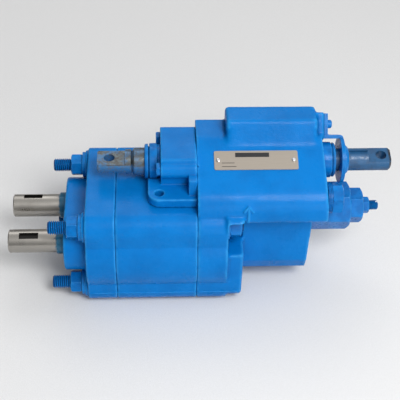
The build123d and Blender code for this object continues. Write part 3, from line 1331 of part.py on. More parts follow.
# --- plate ------------------------------------------------------------------
def plate_place():
    """Middle of the sloped shoulder, with local z straight out of it."""
    run = VALVE_SHOULDER_Y - VALVE_SHOULDER_LOW_Y
    rise = VALVE_TOP - VALVE_SHOULDER_LOW_Z
    slope = math.degrees(math.atan2(rise, run))
    y = VALVE_SHOULDER_LOW_Y + NAMEPLATE_SHARE * run
    z = VALVE_SHOULDER_LOW_Z + NAMEPLATE_SHARE * rise
    return Pos(NAMEPLATE_X, y, z) * Rot(slope, 0, 0)


def nameplate():
    """Blank plate riveted to the shoulder."""
    outline = RectangleRounded(NAMEPLATE_LENGTH, NAMEPLATE_WIDTH, NAMEPLATE_CORNER)
    for side in (-1, 1):
        outline -= Pos(side * RIVET_SPREAD / 2, 0) * Circle(RIVET_SHANK_RADIUS + FIT_GAP)
    return plate_place() * extrude(outline, NAMEPLATE_THICKNESS)


def rivet_holes():
    """Blind holes for the plate's rivets."""
    radius = RIVET_SHANK_RADIUS + FIT_GAP
    depth = RIVET_SHANK_LENGTH + 0.5
    return [
        plate_place() * Pos(side * RIVET_SPREAD / 2, 0, -depth / 2 + 0.01) * Cylinder(radius, depth)
        for side in (-1, 1)
    ]


def nameplate_rivets():
    """Drive rivets, one at each end of the plate."""
    rivets = []
    for side in (-1, 1):
        shank_length = RIVET_SHANK_LENGTH + NAMEPLATE_THICKNESS
        shank = Pos(0, 0, NAMEPLATE_THICKNESS - shank_length / 2) * Cylinder(RIVET_SHANK_RADIUS, shank_length)
        head = Pos(0, 0, NAMEPLATE_THICKNESS + RIVET_HEAD_HEIGHT / 2) * Cylinder(
            RIVET_HEAD_RADIUS, RIVET_HEAD_HEIGHT
        )
        head = fillet(head.edges().sort_by(Axis.Z)[-1], RIVET_HEAD_HEIGHT * 0.8)
        rivets.append(plate_place() * Pos(side * RIVET_SPREAD / 2, 0, 0) * (head + shank))
    return rivets


def finished_valve_housing():
    """Port casting with the seats for the tail cap, bracket and plate."""
    casting = valve_housing()
    casting += bracket_foot_pad()
    casting -= rod(SPOOL_BORE_RADIUS, CHAMBER_END - 1, VALVE_END + 1, SPOOL_OFFSET, SPOOL_Z)
    casting -= tail_cap_pocket()
    casting -= tail_seal_groove()
    casting -= bracket_screw_hole()
    for hole in rivet_holes():
        casting -= hole
    return casting


# --- nodes ------------------------------------------------------------------
def all_nodes():
    """Every node by name."""
    half_tooth = 180 / GEAR_TEETH
    return {
        "front_cover": front_cover(),
        "gear_housing": gear_housing(),
        "valve_housing": finished_valve_housing(),
        "drive_gear_shaft": gear_shaft(-SHAFT_Y, 0, KEY_SEAT_LEAN_NEAR),
        "driven_gear_shaft": gear_shaft(SHAFT_Y, half_tooth, KEY_SEAT_LEAN_FAR),
        "front_thrust_plate": thrust_plate(CHAMBER_START),
        "rear_thrust_plate": thrust_plate(CHAMBER_END - THRUST_PLATE_THICKNESS),
        "front_bearings": bearings(COVER_LENGTH - BEARING_LENGTH + FIT_GAP),
        "rear_bearings": bearings(CHAMBER_END + FIT_GAP),
        "shaft_seals": shaft_seals(),
        "seal_retaining_rings": seal_retaining_rings(),
        "front_joint_seal": joint_seal(CHAMBER_START),
        "rear_joint_seal": joint_seal(CHAMBER_END - JOINT_SEAL_DEPTH),
        "dowel_pins": dowel_pins(),
        "body_studs": body_studs(),
        "stud_washers": stud_washers(),
        "stud_nuts": stud_nuts(),
        "rear_stud_washers": rear_washers(),
        "rear_stud_nuts": rear_nuts(),
        "spool": spool(),
        "spool_bonnet": spool_bonnet(),
        "bonnet_screws": bonnet_screws(),
        "bonnet_seal": bonnet_seal(),
        "seal_retainer": seal_retainer(),
        "wiper_disc": wiper_disc(),
        "tail_seal": tail_seal(),
        "tail_cap": tail_cap(),
        "stop_bracket": stop_bracket(),
        "bracket_screw": bracket_screw(),
        "guide_bush": guide_bush(),
        "relief_body": relief_body(),
        "relief_cap": relief_cap(),
        "relief_seat": relief_seat(),
        "relief_poppet": relief_poppet(),
        "relief_spring": relief_spring(),
        "relief_spring_seat": relief_spring_seat(),
        "adjusting_screw": adjusting_screw(),
        "lock_nut": lock_nut(),
        "check_plug": check_plug(),
        "check_poppet": check_poppet(),
        "check_spring": check_spring(),
        "nameplate": nameplate(),
        "nameplate_rivets": nameplate_rivets(),
    }


def main():
    """Write one file for each node."""
    os.makedirs("parts", exist_ok=True)
    for name, shape in all_nodes().items():
        solids = shape if isinstance(shape, list) else [shape]
        pieces = [Pos(-BRACKET_SEAT_X, 0, 0) * solid for piece in solids for solid in piece.solids()]
        export_step(Compound(children=pieces) if len(pieces) > 1 else pieces[0], f"parts/{name}.step")


main()
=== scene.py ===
"""Finishes, fine pieces and studio for a hydraulic gear pump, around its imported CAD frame.

Lengths are in metres in the frame's own axes: +X from the shaft ends to the spool's tail,
+Y to the side with the ports, +Z up through the spool valve.
"""

import json
import logging
import math
from dataclasses import dataclass, field
from enum import Enum

import bmesh
import bpy
import numpy as np
from mathutils import Matrix, Vector
from mathutils.bvhtree import BVHTree


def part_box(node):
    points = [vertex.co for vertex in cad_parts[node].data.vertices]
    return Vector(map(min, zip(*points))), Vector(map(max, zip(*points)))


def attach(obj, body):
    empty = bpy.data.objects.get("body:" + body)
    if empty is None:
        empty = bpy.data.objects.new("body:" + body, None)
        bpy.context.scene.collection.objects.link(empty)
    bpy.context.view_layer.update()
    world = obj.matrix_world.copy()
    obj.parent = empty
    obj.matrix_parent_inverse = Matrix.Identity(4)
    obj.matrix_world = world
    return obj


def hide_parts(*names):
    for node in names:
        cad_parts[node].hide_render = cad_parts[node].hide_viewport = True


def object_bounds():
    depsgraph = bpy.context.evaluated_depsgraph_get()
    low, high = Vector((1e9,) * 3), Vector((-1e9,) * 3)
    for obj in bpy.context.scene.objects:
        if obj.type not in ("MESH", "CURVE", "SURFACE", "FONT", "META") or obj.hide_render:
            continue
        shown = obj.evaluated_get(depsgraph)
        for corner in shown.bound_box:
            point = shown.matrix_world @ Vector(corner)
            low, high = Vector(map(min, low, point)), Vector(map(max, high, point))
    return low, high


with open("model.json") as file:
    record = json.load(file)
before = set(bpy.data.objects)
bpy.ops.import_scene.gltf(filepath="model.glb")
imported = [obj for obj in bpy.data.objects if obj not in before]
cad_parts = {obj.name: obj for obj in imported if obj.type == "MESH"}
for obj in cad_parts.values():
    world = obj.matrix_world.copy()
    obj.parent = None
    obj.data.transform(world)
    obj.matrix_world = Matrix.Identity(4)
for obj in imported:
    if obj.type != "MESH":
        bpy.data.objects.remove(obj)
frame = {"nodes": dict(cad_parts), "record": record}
CAD_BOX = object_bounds()

LOG = logging.getLogger("gear_pump")
MM = 0.001
EDGE_LAYER = "edge"
HOLLOW_LAYER = "hollow"

Colour = tuple[float, float, float]
Point = tuple[float, float, float]


class Body(Enum):
    """The rigid bodies that pieces ride on."""

    PUMP = "pump_body"
    ADJUSTER = "adjusting_screw"


class Slot(Enum):
    """The record's material slots."""

    CASTING = "blue_casting"
    HARDWARE = "blue_hardware"
    SHAFT = "ground_steel"
    SPOOL = "spool_steel"
    BRONZE = "bearing_bronze"
    RUBBER = "seal_rubber"
    HARDENED = "hardened_steel"
    PLATE = "plate_aluminium"
    RIVET = "rivet_aluminium"


# --- node trees ---------------------------------------------------------------
class Graph:
    """Short calls for making a shader or geometry node tree."""

    def __init__(self, tree: bpy.types.NodeTree) -> None:
        """Keep the tree.

        Args:
            tree: the tree that the nodes go into.
        """
        self.tree = tree

    def node(self, kind: str, **settings: object) -> bpy.types.Node:
        """Add a node.

        Args:
            kind: Blender's type name of the node.
            **settings: properties to set on it.

        Returns:
            The new node.
        """
        made = self.tree.nodes.new(kind)
        for key, value in settings.items():
            setattr(made, key, value)
        return made

    def feed(self, target: bpy.types.NodeSocket, value: object) -> None:
        """Link an output to an input, or set the input to a constant.

        Args:
            target: the input socket.
            value: an output socket, a number or a tuple.
        """
        if isinstance(value, bpy.types.NodeSocket):
            self.tree.links.new(value, target)
        else:
            target.default_value = value

    def math(self, operation: str, *values: object, clamp: bool = False) -> bpy.types.NodeSocket:
        """Add a Math node.

        Args:
            operation: Blender's name of the operation.
            *values: numbers or output sockets, in order.
            clamp: whether the result stays between 0 and 1.

        Returns:
            The result's socket.
        """
        made = self.node("ShaderNodeMath", operation=operation, use_clamp=clamp)
        for place, value in enumerate(values):
            self.feed(made.inputs[place], value)
        return made.outputs[0]

    def ramp(
        self, value: object, low: float, high: float, to_low: float = 0.0, to_high: float = 1.0
    ) -> bpy.types.NodeSocket:
        """Carry a value from one range into another, held at both ends.

        Args:
            value: the input socket.
            low: input that gives to_low.
            high: input that gives to_high.
            to_low: result at low.
            to_high: result at high.

        Returns:
            The result's socket.
        """
        made = self.node("ShaderNodeMapRange", interpolation_type="SMOOTHSTEP")
        for place, number in enumerate((value, low, high, to_low, to_high)):
            self.feed(made.inputs[place], number)
        return made.outputs[0]

    def mix(self, share: object, first: object, second: object) -> bpy.types.NodeSocket:
        """Mix two colours.

        Args:
            share: 0 for the first colour, 1 for the second.
            first: colour or socket.
            second: colour or socket.

        Returns:
            The mixed colour's socket.
        """
        made = self.node("ShaderNodeMix", data_type="RGBA")
        self.feed(made.inputs[0], share)
        self.feed(made.inputs[6], first)
        self.feed(made.inputs[7], second)
        return made.outputs[2]

    def noise(
        self, where: object, scale: float, detail: float = 2.0, roughness: float = 0.5
    ) -> bpy.types.NodeSocket:
        """Add a noise texture and give its grey value.

        Args:
            where: socket with the coordinates.
            scale: cells per metre.
            detail: octaves.
            roughness: weight of the finer octaves.

        Returns:
            The value's socket.
        """
        made = self.node("ShaderNodeTexNoise")
        self.feed(made.inputs["Vector"], where)
        self.feed(made.inputs["Scale"], scale)
        self.feed(made.inputs["Detail"], detail)
        self.feed(made.inputs["Roughness"], roughness)
        return made.outputs[0]


def rgba(colour: Colour) -> tuple[float, float, float, float]:
    """Opaque colour from its three parts."""
    return (*colour, 1.0)


def shader_graph(name: str) -> tuple[bpy.types.Material, Graph, bpy.types.Node, bpy.types.NodeSocket]:
    """Start a material.

    Args:
        name: the material's name.

    Returns:
        The material, its graph, its shader and the object coordinates.
    """
    material = bpy.data.materials.new(name)
    material.use_nodes = True
    material.node_tree.nodes.clear()
    graph = Graph(material.node_tree)
    shader = graph.node("ShaderNodeBsdfPrincipled")
    output = graph.node("ShaderNodeOutputMaterial")
    graph.feed(output.inputs["Surface"], shader.outputs[0])
    coordinates = graph.node("ShaderNodeTexCoord").outputs["Object"]
    return material, graph, shader, coordinates


def bumped(graph: Graph, height: object, depth: float, strength: float = 1.0) -> bpy.types.NodeSocket:
    """Normal from a height map.

    Args:
        graph: the graph to add to.
        height: socket with values from 0 to 1.
        depth: height in metres of a value of 1.
        strength: share of the effect.

    Returns:
        The normal's socket.
    """
    bump = graph.node("ShaderNodeBump")
    graph.feed(bump.inputs["Strength"], strength)
    graph.feed(bump.inputs["Distance"], depth)
    graph.feed(bump.inputs["Height"], height)
    return bump.outputs[0]


# --- finishes -------------------------------------------------------------------
@dataclass(frozen=True)
class Enamel:
    """Glossy enamel, with a painted highlight on its edges and painted shade in its hollows."""

    name: str
    colour: Colour
    deep: Colour
    painted_edge_highlight: Colour
    shadow: Colour
    cloud_scale: float
    grain_scale: float
    grain_depth: float
    gloss_scale: float
    gloss_detail: float
    smoothest: float
    roughest: float
    hollow_share: float
    specular: float
    coat_roughness: float
    coat: float = 0.05

    def edge_highlight_share(self, graph: Graph, where: object) -> object:
        """Share of the painted edge highlight that a full edge has, as a number or a socket."""
        raise NotImplementedError

    def height(self, graph: Graph, where: object) -> bpy.types.NodeSocket:
        """Height of the surface."""
        return graph.noise(where, self.grain_scale, 3.0, 0.6)

    def build(self) -> bpy.types.Material:
        """Make the material.

        Returns:
            The finished material.
        """
        material, graph, shader, where = shader_graph(self.name)
        cloud = graph.noise(where, self.cloud_scale, 3.0)
        body = graph.mix(graph.ramp(cloud, 0.35, 0.7), rgba(self.colour), rgba(self.deep))
        edge = graph.node("ShaderNodeAttribute", attribute_name=EDGE_LAYER).outputs["Fac"]
        hollow = graph.node("ShaderNodeAttribute", attribute_name=HOLLOW_LAYER).outputs["Fac"]
        # painted highlight: convex edges take a lighter blue in place of the light they catch
        highlit_edges = graph.math("MULTIPLY", edge, self.edge_highlight_share(graph, where))
        lit = graph.mix(highlit_edges, body, rgba(self.painted_edge_highlight))
        shade = graph.mix(graph.math("MULTIPLY", hollow, self.hollow_share), lit, rgba(self.shadow))
        graph.feed(shader.inputs["Base Color"], shade)
        height = self.height(graph, where)
        graph.feed(shader.inputs["Normal"], bumped(graph, height, self.grain_depth))
        gloss = graph.noise(where, self.gloss_scale, self.gloss_detail)
        rough = graph.ramp(gloss, 0.3, 0.7, self.smoothest, self.roughest)
        graph.feed(shader.inputs["Roughness"], rough)
        shader.inputs["Specular IOR Level"].default_value = self.specular
        shader.inputs["Coat Weight"].default_value = self.coat
        shader.inputs["Coat Roughness"].default_value = self.coat_roughness
        return material


@dataclass(frozen=True)
class CastPaint(Enamel):
    """Thick enamel over sand-cast iron, with a painted highlight along its edges that is stronger in some
    patches.
    """

    name: str = "blue_enamel_on_casting"
    colour: Colour = (0.0006, 0.172, 0.535)
    deep: Colour = (0.0006, 0.145, 0.465)
    # lighter blue of the painted edge highlight
    painted_edge_highlight: Colour = (0.022, 0.26, 0.62)
    shadow: Colour = (0.001, 0.05, 0.19)
    cloud_scale: float = 34.0
    grain_scale: float = 1100.0
    grain_depth: float = 0.00022
    gloss_scale: float = 75.0
    gloss_detail: float = 3.0
    smoothest: float = 0.24
    roughest: float = 0.40
    hollow_share: float = 0.55
    specular: float = 0.08
    coat_roughness: float = 0.10
    # size of the patches where the painted edge highlight is stronger
    highlight_patch_scale: float = 160.0
    coarse_scale: float = 22.0
    swell_scale: float = 260.0
    swell_share: float = 1.2

    def edge_highlight_share(self, graph: Graph, where: object) -> bpy.types.NodeSocket:
        """Uneven share, from patch to patch."""
        return graph.ramp(graph.noise(where, self.highlight_patch_scale, 3.0), 0.3, 0.6, 0.25, 0.9)

    def height(self, graph: Graph, where: object) -> bpy.types.NodeSocket:
        """Grain in patches, on slow swells.

        Args:
            graph: the graph to add to.
            where: socket with the coordinates.

        Returns:
            The height's socket.
        """
        grain = super().height(graph, where)
        coarse = graph.ramp(graph.noise(where, self.coarse_scale, 2.0), 0.45, 0.62, 0.25, 1.0)
        swell = graph.noise(where, self.swell_scale, 2.0, 0.5)
        swelling = graph.math("MULTIPLY", swell, self.swell_share)
        return graph.math("ADD", graph.math("MULTIPLY", grain, coarse), swelling)


@dataclass(frozen=True)
class HardwarePaint(Enamel):
    """The same enamel, thinner and smoother, over turned and rolled hardware."""

    name: str = "blue_enamel_on_hardware"
    colour: Colour = (0.001, 0.165, 0.505)
    deep: Colour = (0.001, 0.115, 0.385)
    # lighter blue of the painted edge highlight
    painted_edge_highlight: Colour = (0.05, 0.28, 0.62)
    shadow: Colour = (0.001, 0.018, 0.07)
    cloud_scale: float = 120.0
    grain_scale: float = 900.0
    grain_depth: float = 0.00005
    gloss_scale: float = 300.0
    gloss_detail: float = 2.0
    smoothest: float = 0.23
    roughest: float = 0.40
    hollow_share: float = 0.92
    specular: float = 0.12
    coat_roughness: float = 0.12
    # share of the painted edge highlight on every edge
    edge_share: float = 0.6

    def edge_highlight_share(self, graph: Graph, where: object) -> float:
        """Even share all over."""
        return self.edge_share


@dataclass(frozen=True)
class GroundShaft:
    """Ground steel with fine turning rings, with paint on the collar behind a masked line and painted shade
    in the keyseat.
    """

    name: str = "ground_steel_shaft"
    steel: Colour = (0.34, 0.325, 0.30)
    tarnish: Colour = (0.27, 0.235, 0.20)
    polish: Colour = (0.50, 0.47, 0.43)
    paint: Colour = (0.012, 0.13, 0.24)
    mask_x: float = -0.0125
    mask_blur: float = 0.0012
    ragged_scale: float = 420.0
    ragged_reach: float = 0.004
    ring_scale: float = 3800.0
    ring_depth: float = 0.000012
    stain_scale: float = 75.0
    gloss_scale: float = 60.0
    # near-black of the painted shade in the keyseat
    keyseat_painted_shade: Colour = (0.012, 0.011, 0.010)
    seat_start_x: float = -0.0477
    seat_end_x: float = -0.0283
    seat_radius: float = 0.0106
    shaft_y: float = 0.0254
    roughness: float = 0.30

    def build(self) -> bpy.types.Material:
        """Make the material.

        Returns:
            The finished material.
        """
        material, graph, shader, where = shader_graph(self.name)
        parts = graph.node("ShaderNodeSeparateXYZ")
        graph.feed(parts.inputs[0], where)
        uneven = graph.math("SUBTRACT", graph.noise(where, self.ragged_scale, 4.0), 0.5)
        ragged = graph.math("MULTIPLY", uneven, self.ragged_reach)
        along = graph.math("ADD", parts.outputs[0], ragged)
        painted = graph.ramp(along, self.mask_x - self.mask_blur, self.mask_x + self.mask_blur)
        rings = graph.node("ShaderNodeTexNoise", noise_dimensions="1D")
        graph.feed(rings.inputs["W"], parts.outputs[0])
        graph.feed(rings.inputs["Scale"], self.ring_scale)
        graph.feed(rings.inputs["Detail"], 3.0)
        stain = graph.ramp(graph.noise(where, self.stain_scale, 5.0, 0.65), 0.55, 0.8, 0.0, 0.3)
        bare = graph.mix(stain, rgba(self.steel), rgba(self.tarnish))
        ground = graph.ramp(rings.outputs[0], 0.35, 0.65, 0.0, 0.3)
        streak = graph.mix(ground, bare, rgba(self.polish))
        across = graph.math("SUBTRACT", graph.math("ABSOLUTE", parts.outputs[1]), self.shaft_y)
        height = graph.math("POWER", parts.outputs[2], 2.0)
        reach = graph.math("SQRT", graph.math("ADD", graph.math("POWER", across, 2.0), height))
        sunk = graph.math("LESS_THAN", reach, self.seat_radius)
        after = graph.math("GREATER_THAN", parts.outputs[0], self.seat_start_x)
        before = graph.math("LESS_THAN", parts.outputs[0], self.seat_end_x)
        seat = graph.math("MULTIPLY", sunk, graph.math("MULTIPLY", after, before))
        # painted shade: the keyseat turns near-black and less metallic, as if in shadow
        shaded_keyseat = graph.mix(seat, streak, rgba(self.keyseat_painted_shade))
        graph.feed(shader.inputs["Base Color"], graph.mix(painted, shaded_keyseat, rgba(self.paint)))
        coated = graph.math("MAXIMUM", painted, graph.math("MULTIPLY", seat, 0.6))
        graph.feed(shader.inputs["Metallic"], graph.ramp(coated, 0.0, 1.0, 1.0, 0.15))
        gloss = graph.noise(where, self.gloss_scale, 2.0)
        rough = graph.ramp(gloss, 0.3, 0.7, self.roughness - 0.03, self.roughness + 0.05)
        graph.feed(shader.inputs["Roughness"], rough)
        graph.feed(shader.inputs["Normal"], bumped(graph, rings.outputs[0], self.ring_depth))
        return material


@dataclass(frozen=True)
class SpoolSkin:
    """Spool steel: bare and rust-stained at the front eye, overpainted and chipped at the tail."""

    name: str = "spool_steel_and_overspray"
    steel: Colour = (0.115, 0.14, 0.15)
    rust: Colour = (0.10, 0.065, 0.045)
    overspray: Colour = (0.015, 0.15, 0.36)
    tail_paint: Colour = (0.008, 0.085, 0.21)
    tail_shade: Colour = (0.008, 0.06, 0.15)
    chip: Colour = (0.008, 0.008, 0.010)
    eye_end_x: float = 0.054
    tail_start_x: float = 0.230
    tail_end_x: float = 0.3031
    axis_z: float = 0.0691
    flat_top: float = 0.0042
    flat_foot: float = 0.0030
    speckle_scale: float = 520.0
    band_scale: float = 90.0
    chip_scale: float = 700.0
    chip_start: float = 0.0028
    chip_full: float = 0.0012
    grain_scale: float = 650.0
    grain_depth: float = 0.00004

    def build(self) -> bpy.types.Material:
        """Make the material.

        Returns:
            The finished material.
        """
        material, graph, shader, where = shader_graph(self.name)
        parts = graph.node("ShaderNodeSeparateXYZ")
        graph.feed(parts.inputs[0], where)
        x, _, z = parts.outputs
        low_side = graph.ramp(z, self.axis_z + self.flat_top, self.axis_z + self.flat_foot)
        speckle = graph.ramp(graph.noise(where, self.speckle_scale, 5.0, 0.7), 0.42, 0.60)
        band = graph.ramp(graph.noise(where, self.band_scale, 4.0, 0.6), 0.42, 0.60)
        rusty = graph.mix(graph.math("MULTIPLY", speckle, 0.55), rgba(self.steel), rgba(self.rust))
        near_body = graph.ramp(x, self.eye_end_x - 0.001, self.eye_end_x + 0.002, 0.85, 0.45)
        below = graph.math("MULTIPLY", low_side, 0.85)
        cover = graph.math("MAXIMUM", below, graph.math("MULTIPLY", near_body, band))
        patchy = graph.math("MULTIPLY", cover, graph.ramp(speckle, 0.0, 1.0, 1.0, 0.55))
        front = graph.mix(patchy, rusty, rgba(self.overspray))
        cloudy = graph.mix(band, rgba(self.tail_paint), rgba(self.tail_shade))
        rim = graph.ramp(x, self.tail_end_x - self.chip_start, self.tail_end_x - self.chip_full)
        flakes = graph.ramp(graph.noise(where, self.chip_scale, 3.0, 0.6), 0.38, 0.46)
        chipped = graph.math("MULTIPLY", rim, flakes)
        tail = graph.mix(chipped, cloudy, rgba(self.chip))
        is_tail = graph.ramp(x, self.tail_start_x - 0.001, self.tail_start_x + 0.001)
        graph.feed(shader.inputs["Base Color"], graph.mix(is_tail, front, tail))
        bare = graph.math("SUBTRACT", 1.0, graph.math("MAXIMUM", is_tail, cover), clamp=True)
        graph.feed(shader.inputs["Metallic"], graph.math("MULTIPLY", bare, 0.9))
        graph.feed(shader.inputs["Roughness"], graph.ramp(speckle, 0.0, 1.0, 0.30, 0.52))
        height = graph.noise(where, self.grain_scale, 4.0, 0.6)
        graph.feed(shader.inputs["Normal"], bumped(graph, height, self.grain_depth))
        return material


@dataclass(frozen=True)
class PlainMetal:
    """Bare metal with brushed or turned streaks along one axis."""

    name: str
    colour: Colour
    dull: Colour
    roughness: float
    streak: Point = (40.0, 2400.0, 2400.0)
    metallic: float = 1.0
    streak_depth: float = 0.00001

    def build(self) -> bpy.types.Material:
        """Make the material.

        Returns:
            The finished material.
        """
        material, graph, shader, where = shader_graph(self.name)
        stretched = graph.node("ShaderNodeMapping")
        graph.feed(stretched.inputs["Vector"], where)
        stretched.inputs["Scale"].default_value = self.streak
        brushed = graph.noise(stretched.outputs[0], 1.0, 2.0)
        graph.feed(shader.inputs["Base Color"], graph.mix(brushed, rgba(self.colour), rgba(self.dull)))
        shader.inputs["Metallic"].default_value = self.metallic
        rough = graph.ramp(brushed, 0.3, 0.7, self.roughness - 0.06, self.roughness + 0.08)
        graph.feed(shader.inputs["Roughness"], rough)
        graph.feed(shader.inputs["Normal"], bumped(graph, brushed, self.streak_depth))
        return material


@dataclass(frozen=True)
class MatteSkin:
    """Rubber, ink or another dark matte surface with a fine grain."""

    name: str
    colour: Colour
    roughness: float = 0.6
    grain_scale: float = 2200.0
    grain_depth: float = 0.00001
    lighter: float = 1.7
    haze: float = 0.004

    def build(self) -> bpy.types.Material:
        """Make the material.

        Returns:
            The finished material.
        """
        material, graph, shader, where = shader_graph(self.name)
        grain = graph.noise(where, self.grain_scale, 3.0)
        light = tuple(part * self.lighter + self.haze for part in self.colour)
        graph.feed(shader.inputs["Base Color"], graph.mix(grain, rgba(self.colour), rgba(light)))
        shader.inputs["Roughness"].default_value = self.roughness
        graph.feed(shader.inputs["Normal"], bumped(graph, grain, self.grain_depth))
        return material


class Finishes:
    """All the materials, made once."""

    def __init__(self) -> None:
        """Build every finish."""
        self.casting = CastPaint().build()
        self.hardware = HardwarePaint().build()
        self.shaft = GroundShaft().build()
        self.spool = SpoolSkin().build()
        bronze = PlainMetal("bearing_bronze", (0.55, 0.36, 0.14), (0.42, 0.26, 0.10), 0.35)
        self.bronze = bronze.build()
        self.rubber = MatteSkin("nitrile_rubber", (0.012, 0.012, 0.013)).build()
        hardened = PlainMetal("hardened_steel", (0.42, 0.42, 0.43), (0.30, 0.30, 0.31), 0.32)
        self.hardened = hardened.build()
        plate = PlainMetal(
            "brushed_plate_aluminium",
            (0.40, 0.355, 0.30),
            (0.34, 0.30, 0.255),
            roughness=0.42,
            streak=(60.0, 3600.0, 3600.0),
            metallic=0.55,
        )
        self.plate = plate.build()
        self.rivet = PlainMetal("rivet_aluminium", (0.86, 0.86, 0.87), (0.70, 0.70, 0.72), 0.22).build()
        self.ink = MatteSkin("black_plate_ink", (0.006, 0.006, 0.007), 0.45).build()
        self.floor = MatteSkin("pale_floor", (0.52, 0.52, 0.52), 0.9).build()

    def by_slot(self) -> dict[str, bpy.types.Material]:
        """Material of each slot of the record.

        Returns:
            Slot name to material.
        """
        return {
            Slot.CASTING.value: self.casting,
            Slot.HARDWARE.value: self.hardware,
            Slot.SHAFT.value: self.shaft,
            Slot.SPOOL.value: self.spool,
            Slot.BRONZE.value: self.bronze,
            Slot.RUBBER.value: self.rubber,
            Slot.HARDENED.value: self.hardened,
            Slot.PLATE.value: self.plate,
            Slot.RIVET.value: self.rivet,
        }


# --- mesh helpers ---------------------------------------------------------------
def place_piece(piece: bpy.types.Object, body: Body, replaced: tuple[str, ...] = ()) -> None:
    """Attach a finished piece to the body it rides on and hide the CAD nodes that it stands for.

    Args:
        piece: the finished object.
        body: the body that it moves with.
        replaced: CAD nodes that it stands for.
    """
    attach(piece, body.value)
    if replaced:
        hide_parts(*replaced)
    LOG.info("%s: %d faces on %s", piece.name, len(piece.data.polygons), body.value)


def new_object(name: str, mesh: bpy.types.Mesh) -> bpy.types.Object:
    """Object in the scene for a mesh.

    Args:
        name: the object's name.
        mesh: its mesh.

    Returns:
        The new object.
    """
    made = bpy.data.objects.new(name, mesh)
    bpy.context.scene.collection.objects.link(made)
    return made


def merged_copy(node: str, name: str) -> bpy.types.Object:
    """Copy of a CAD node with its loose triangles joined into one skin.

    Args:
        node: the CAD node.
        name: the copy's name.

    Returns:
        The new object.
    """
    source = frame["nodes"][node].data
    corners = np.empty(len(source.vertices) * 3)
    source.vertices.foreach_get("co", corners)
    keys = np.round(corners.reshape(-1, 3), 7)
    points, place = np.unique(keys, axis=0, return_inverse=True)
    source.calc_loop_triangles()
    triangles = np.empty(len(source.loop_triangles) * 3, dtype=np.int32)
    source.loop_triangles.foreach_get("vertices", triangles)
    faces = place.ravel()[triangles].reshape(-1, 3)
    whole = (faces[:, 0] != faces[:, 1]) & (faces[:, 1] != faces[:, 2]) & (faces[:, 0] != faces[:, 2])
    mesh = bpy.data.meshes.new(name)
    mesh.from_pydata(points.tolist(), [], faces[whole].tolist())
    mesh.update()
    return new_object(name, mesh)


def made_plain(piece: bpy.types.Object) -> None:
    """Turn what the modifiers give into the object's own mesh.

    Args:
        piece: object whose modifiers are used up.
    """
    graph = bpy.context.evaluated_depsgraph_get()
    mesh = bpy.data.meshes.new_from_object(piece.evaluated_get(graph))
    piece.modifiers.clear()
    piece.data = mesh
    mesh.name = piece.name


def softened_copy(node: str, name: str, voxel: float, rounds: int) -> bpy.types.Object:
    """Copy of a CAD node in one even skin with rounded edges.

    Args:
        node: the CAD node.
        name: the copy's name.
        voxel: size of the skin's cells.
        rounds: rounds of smoothing.

    Returns:
        The new object.
    """
    piece = merged_copy(node, name)
    remesh = piece.modifiers.new("even_skin", "REMESH")
    remesh.mode = "VOXEL"
    remesh.voxel_size = voxel
    remesh.use_smooth_shade = True
    soften = piece.modifiers.new("rounded_edges", "SMOOTH")
    soften.factor = 0.5
    soften.iterations = rounds
    made_plain(piece)
    return piece


def add_curvature(mesh: bpy.types.Mesh, reach: int, gain: float, floor: float = 0.25) -> None:
    """Store how far each point stands out of, or lies in, its surroundings.

    Args:
        mesh: the mesh to measure.
        reach: rounds of smoothing.
        gain: curvature that counts as a full edge.
        floor: share of the gain that still counts as flat.
    """
    count = len(mesh.vertices)
    points = np.empty(count * 3)
    normals = np.empty(count * 3)
    mesh.vertices.foreach_get("co", points)
    mesh.vertices.foreach_get("normal", normals)
    points, normals = points.reshape(-1, 3), normals.reshape(-1, 3)
    edges = np.empty(len(mesh.edges) * 2, dtype=np.int32)
    mesh.edges.foreach_get("vertices", edges)
    first, second = edges.reshape(-1, 2).T
    ends = np.concatenate((first, second))
    others = np.concatenate((second, first))
    degree = np.maximum(np.bincount(ends, minlength=count), 1)

    def around(values: np.ndarray) -> np.ndarray:
        """Mean of each point's neighbours."""
        return np.bincount(ends, weights=values[others], minlength=count) / degree

    middle = np.stack([around(points[:, axis]) for axis in range(3)], axis=1)
    lengths = ((points[others] - points[ends]) ** 2).sum(1)
    spread = np.sqrt(np.bincount(ends, weights=lengths, minlength=count) / degree)
    bend = ((points - middle) * normals).sum(1) / np.maximum(spread, 1e-9)
    for _ in range(reach):
        bend = 0.5 * bend + 0.5 * around(bend)
    for name, values in ((EDGE_LAYER, bend), (HOLLOW_LAYER, -bend)):
        layer = mesh.attributes.new(name, "FLOAT", "POINT")
        share = np.clip((values / gain - floor) / (1.0 - floor), 0.0, 1.0)
        layer.data.foreach_set("value", share.astype(np.float32))


def right_way_out(mesh: bpy.types.Mesh) -> None:
    """Turn all the faces of a closed mesh outwards.

    Args:
        mesh: the mesh to mend.
    """
    shape = bmesh.new()
    shape.from_mesh(mesh)
    bmesh.ops.recalc_face_normals(shape, faces=shape.faces)
    shape.to_mesh(mesh)
    shape.free()


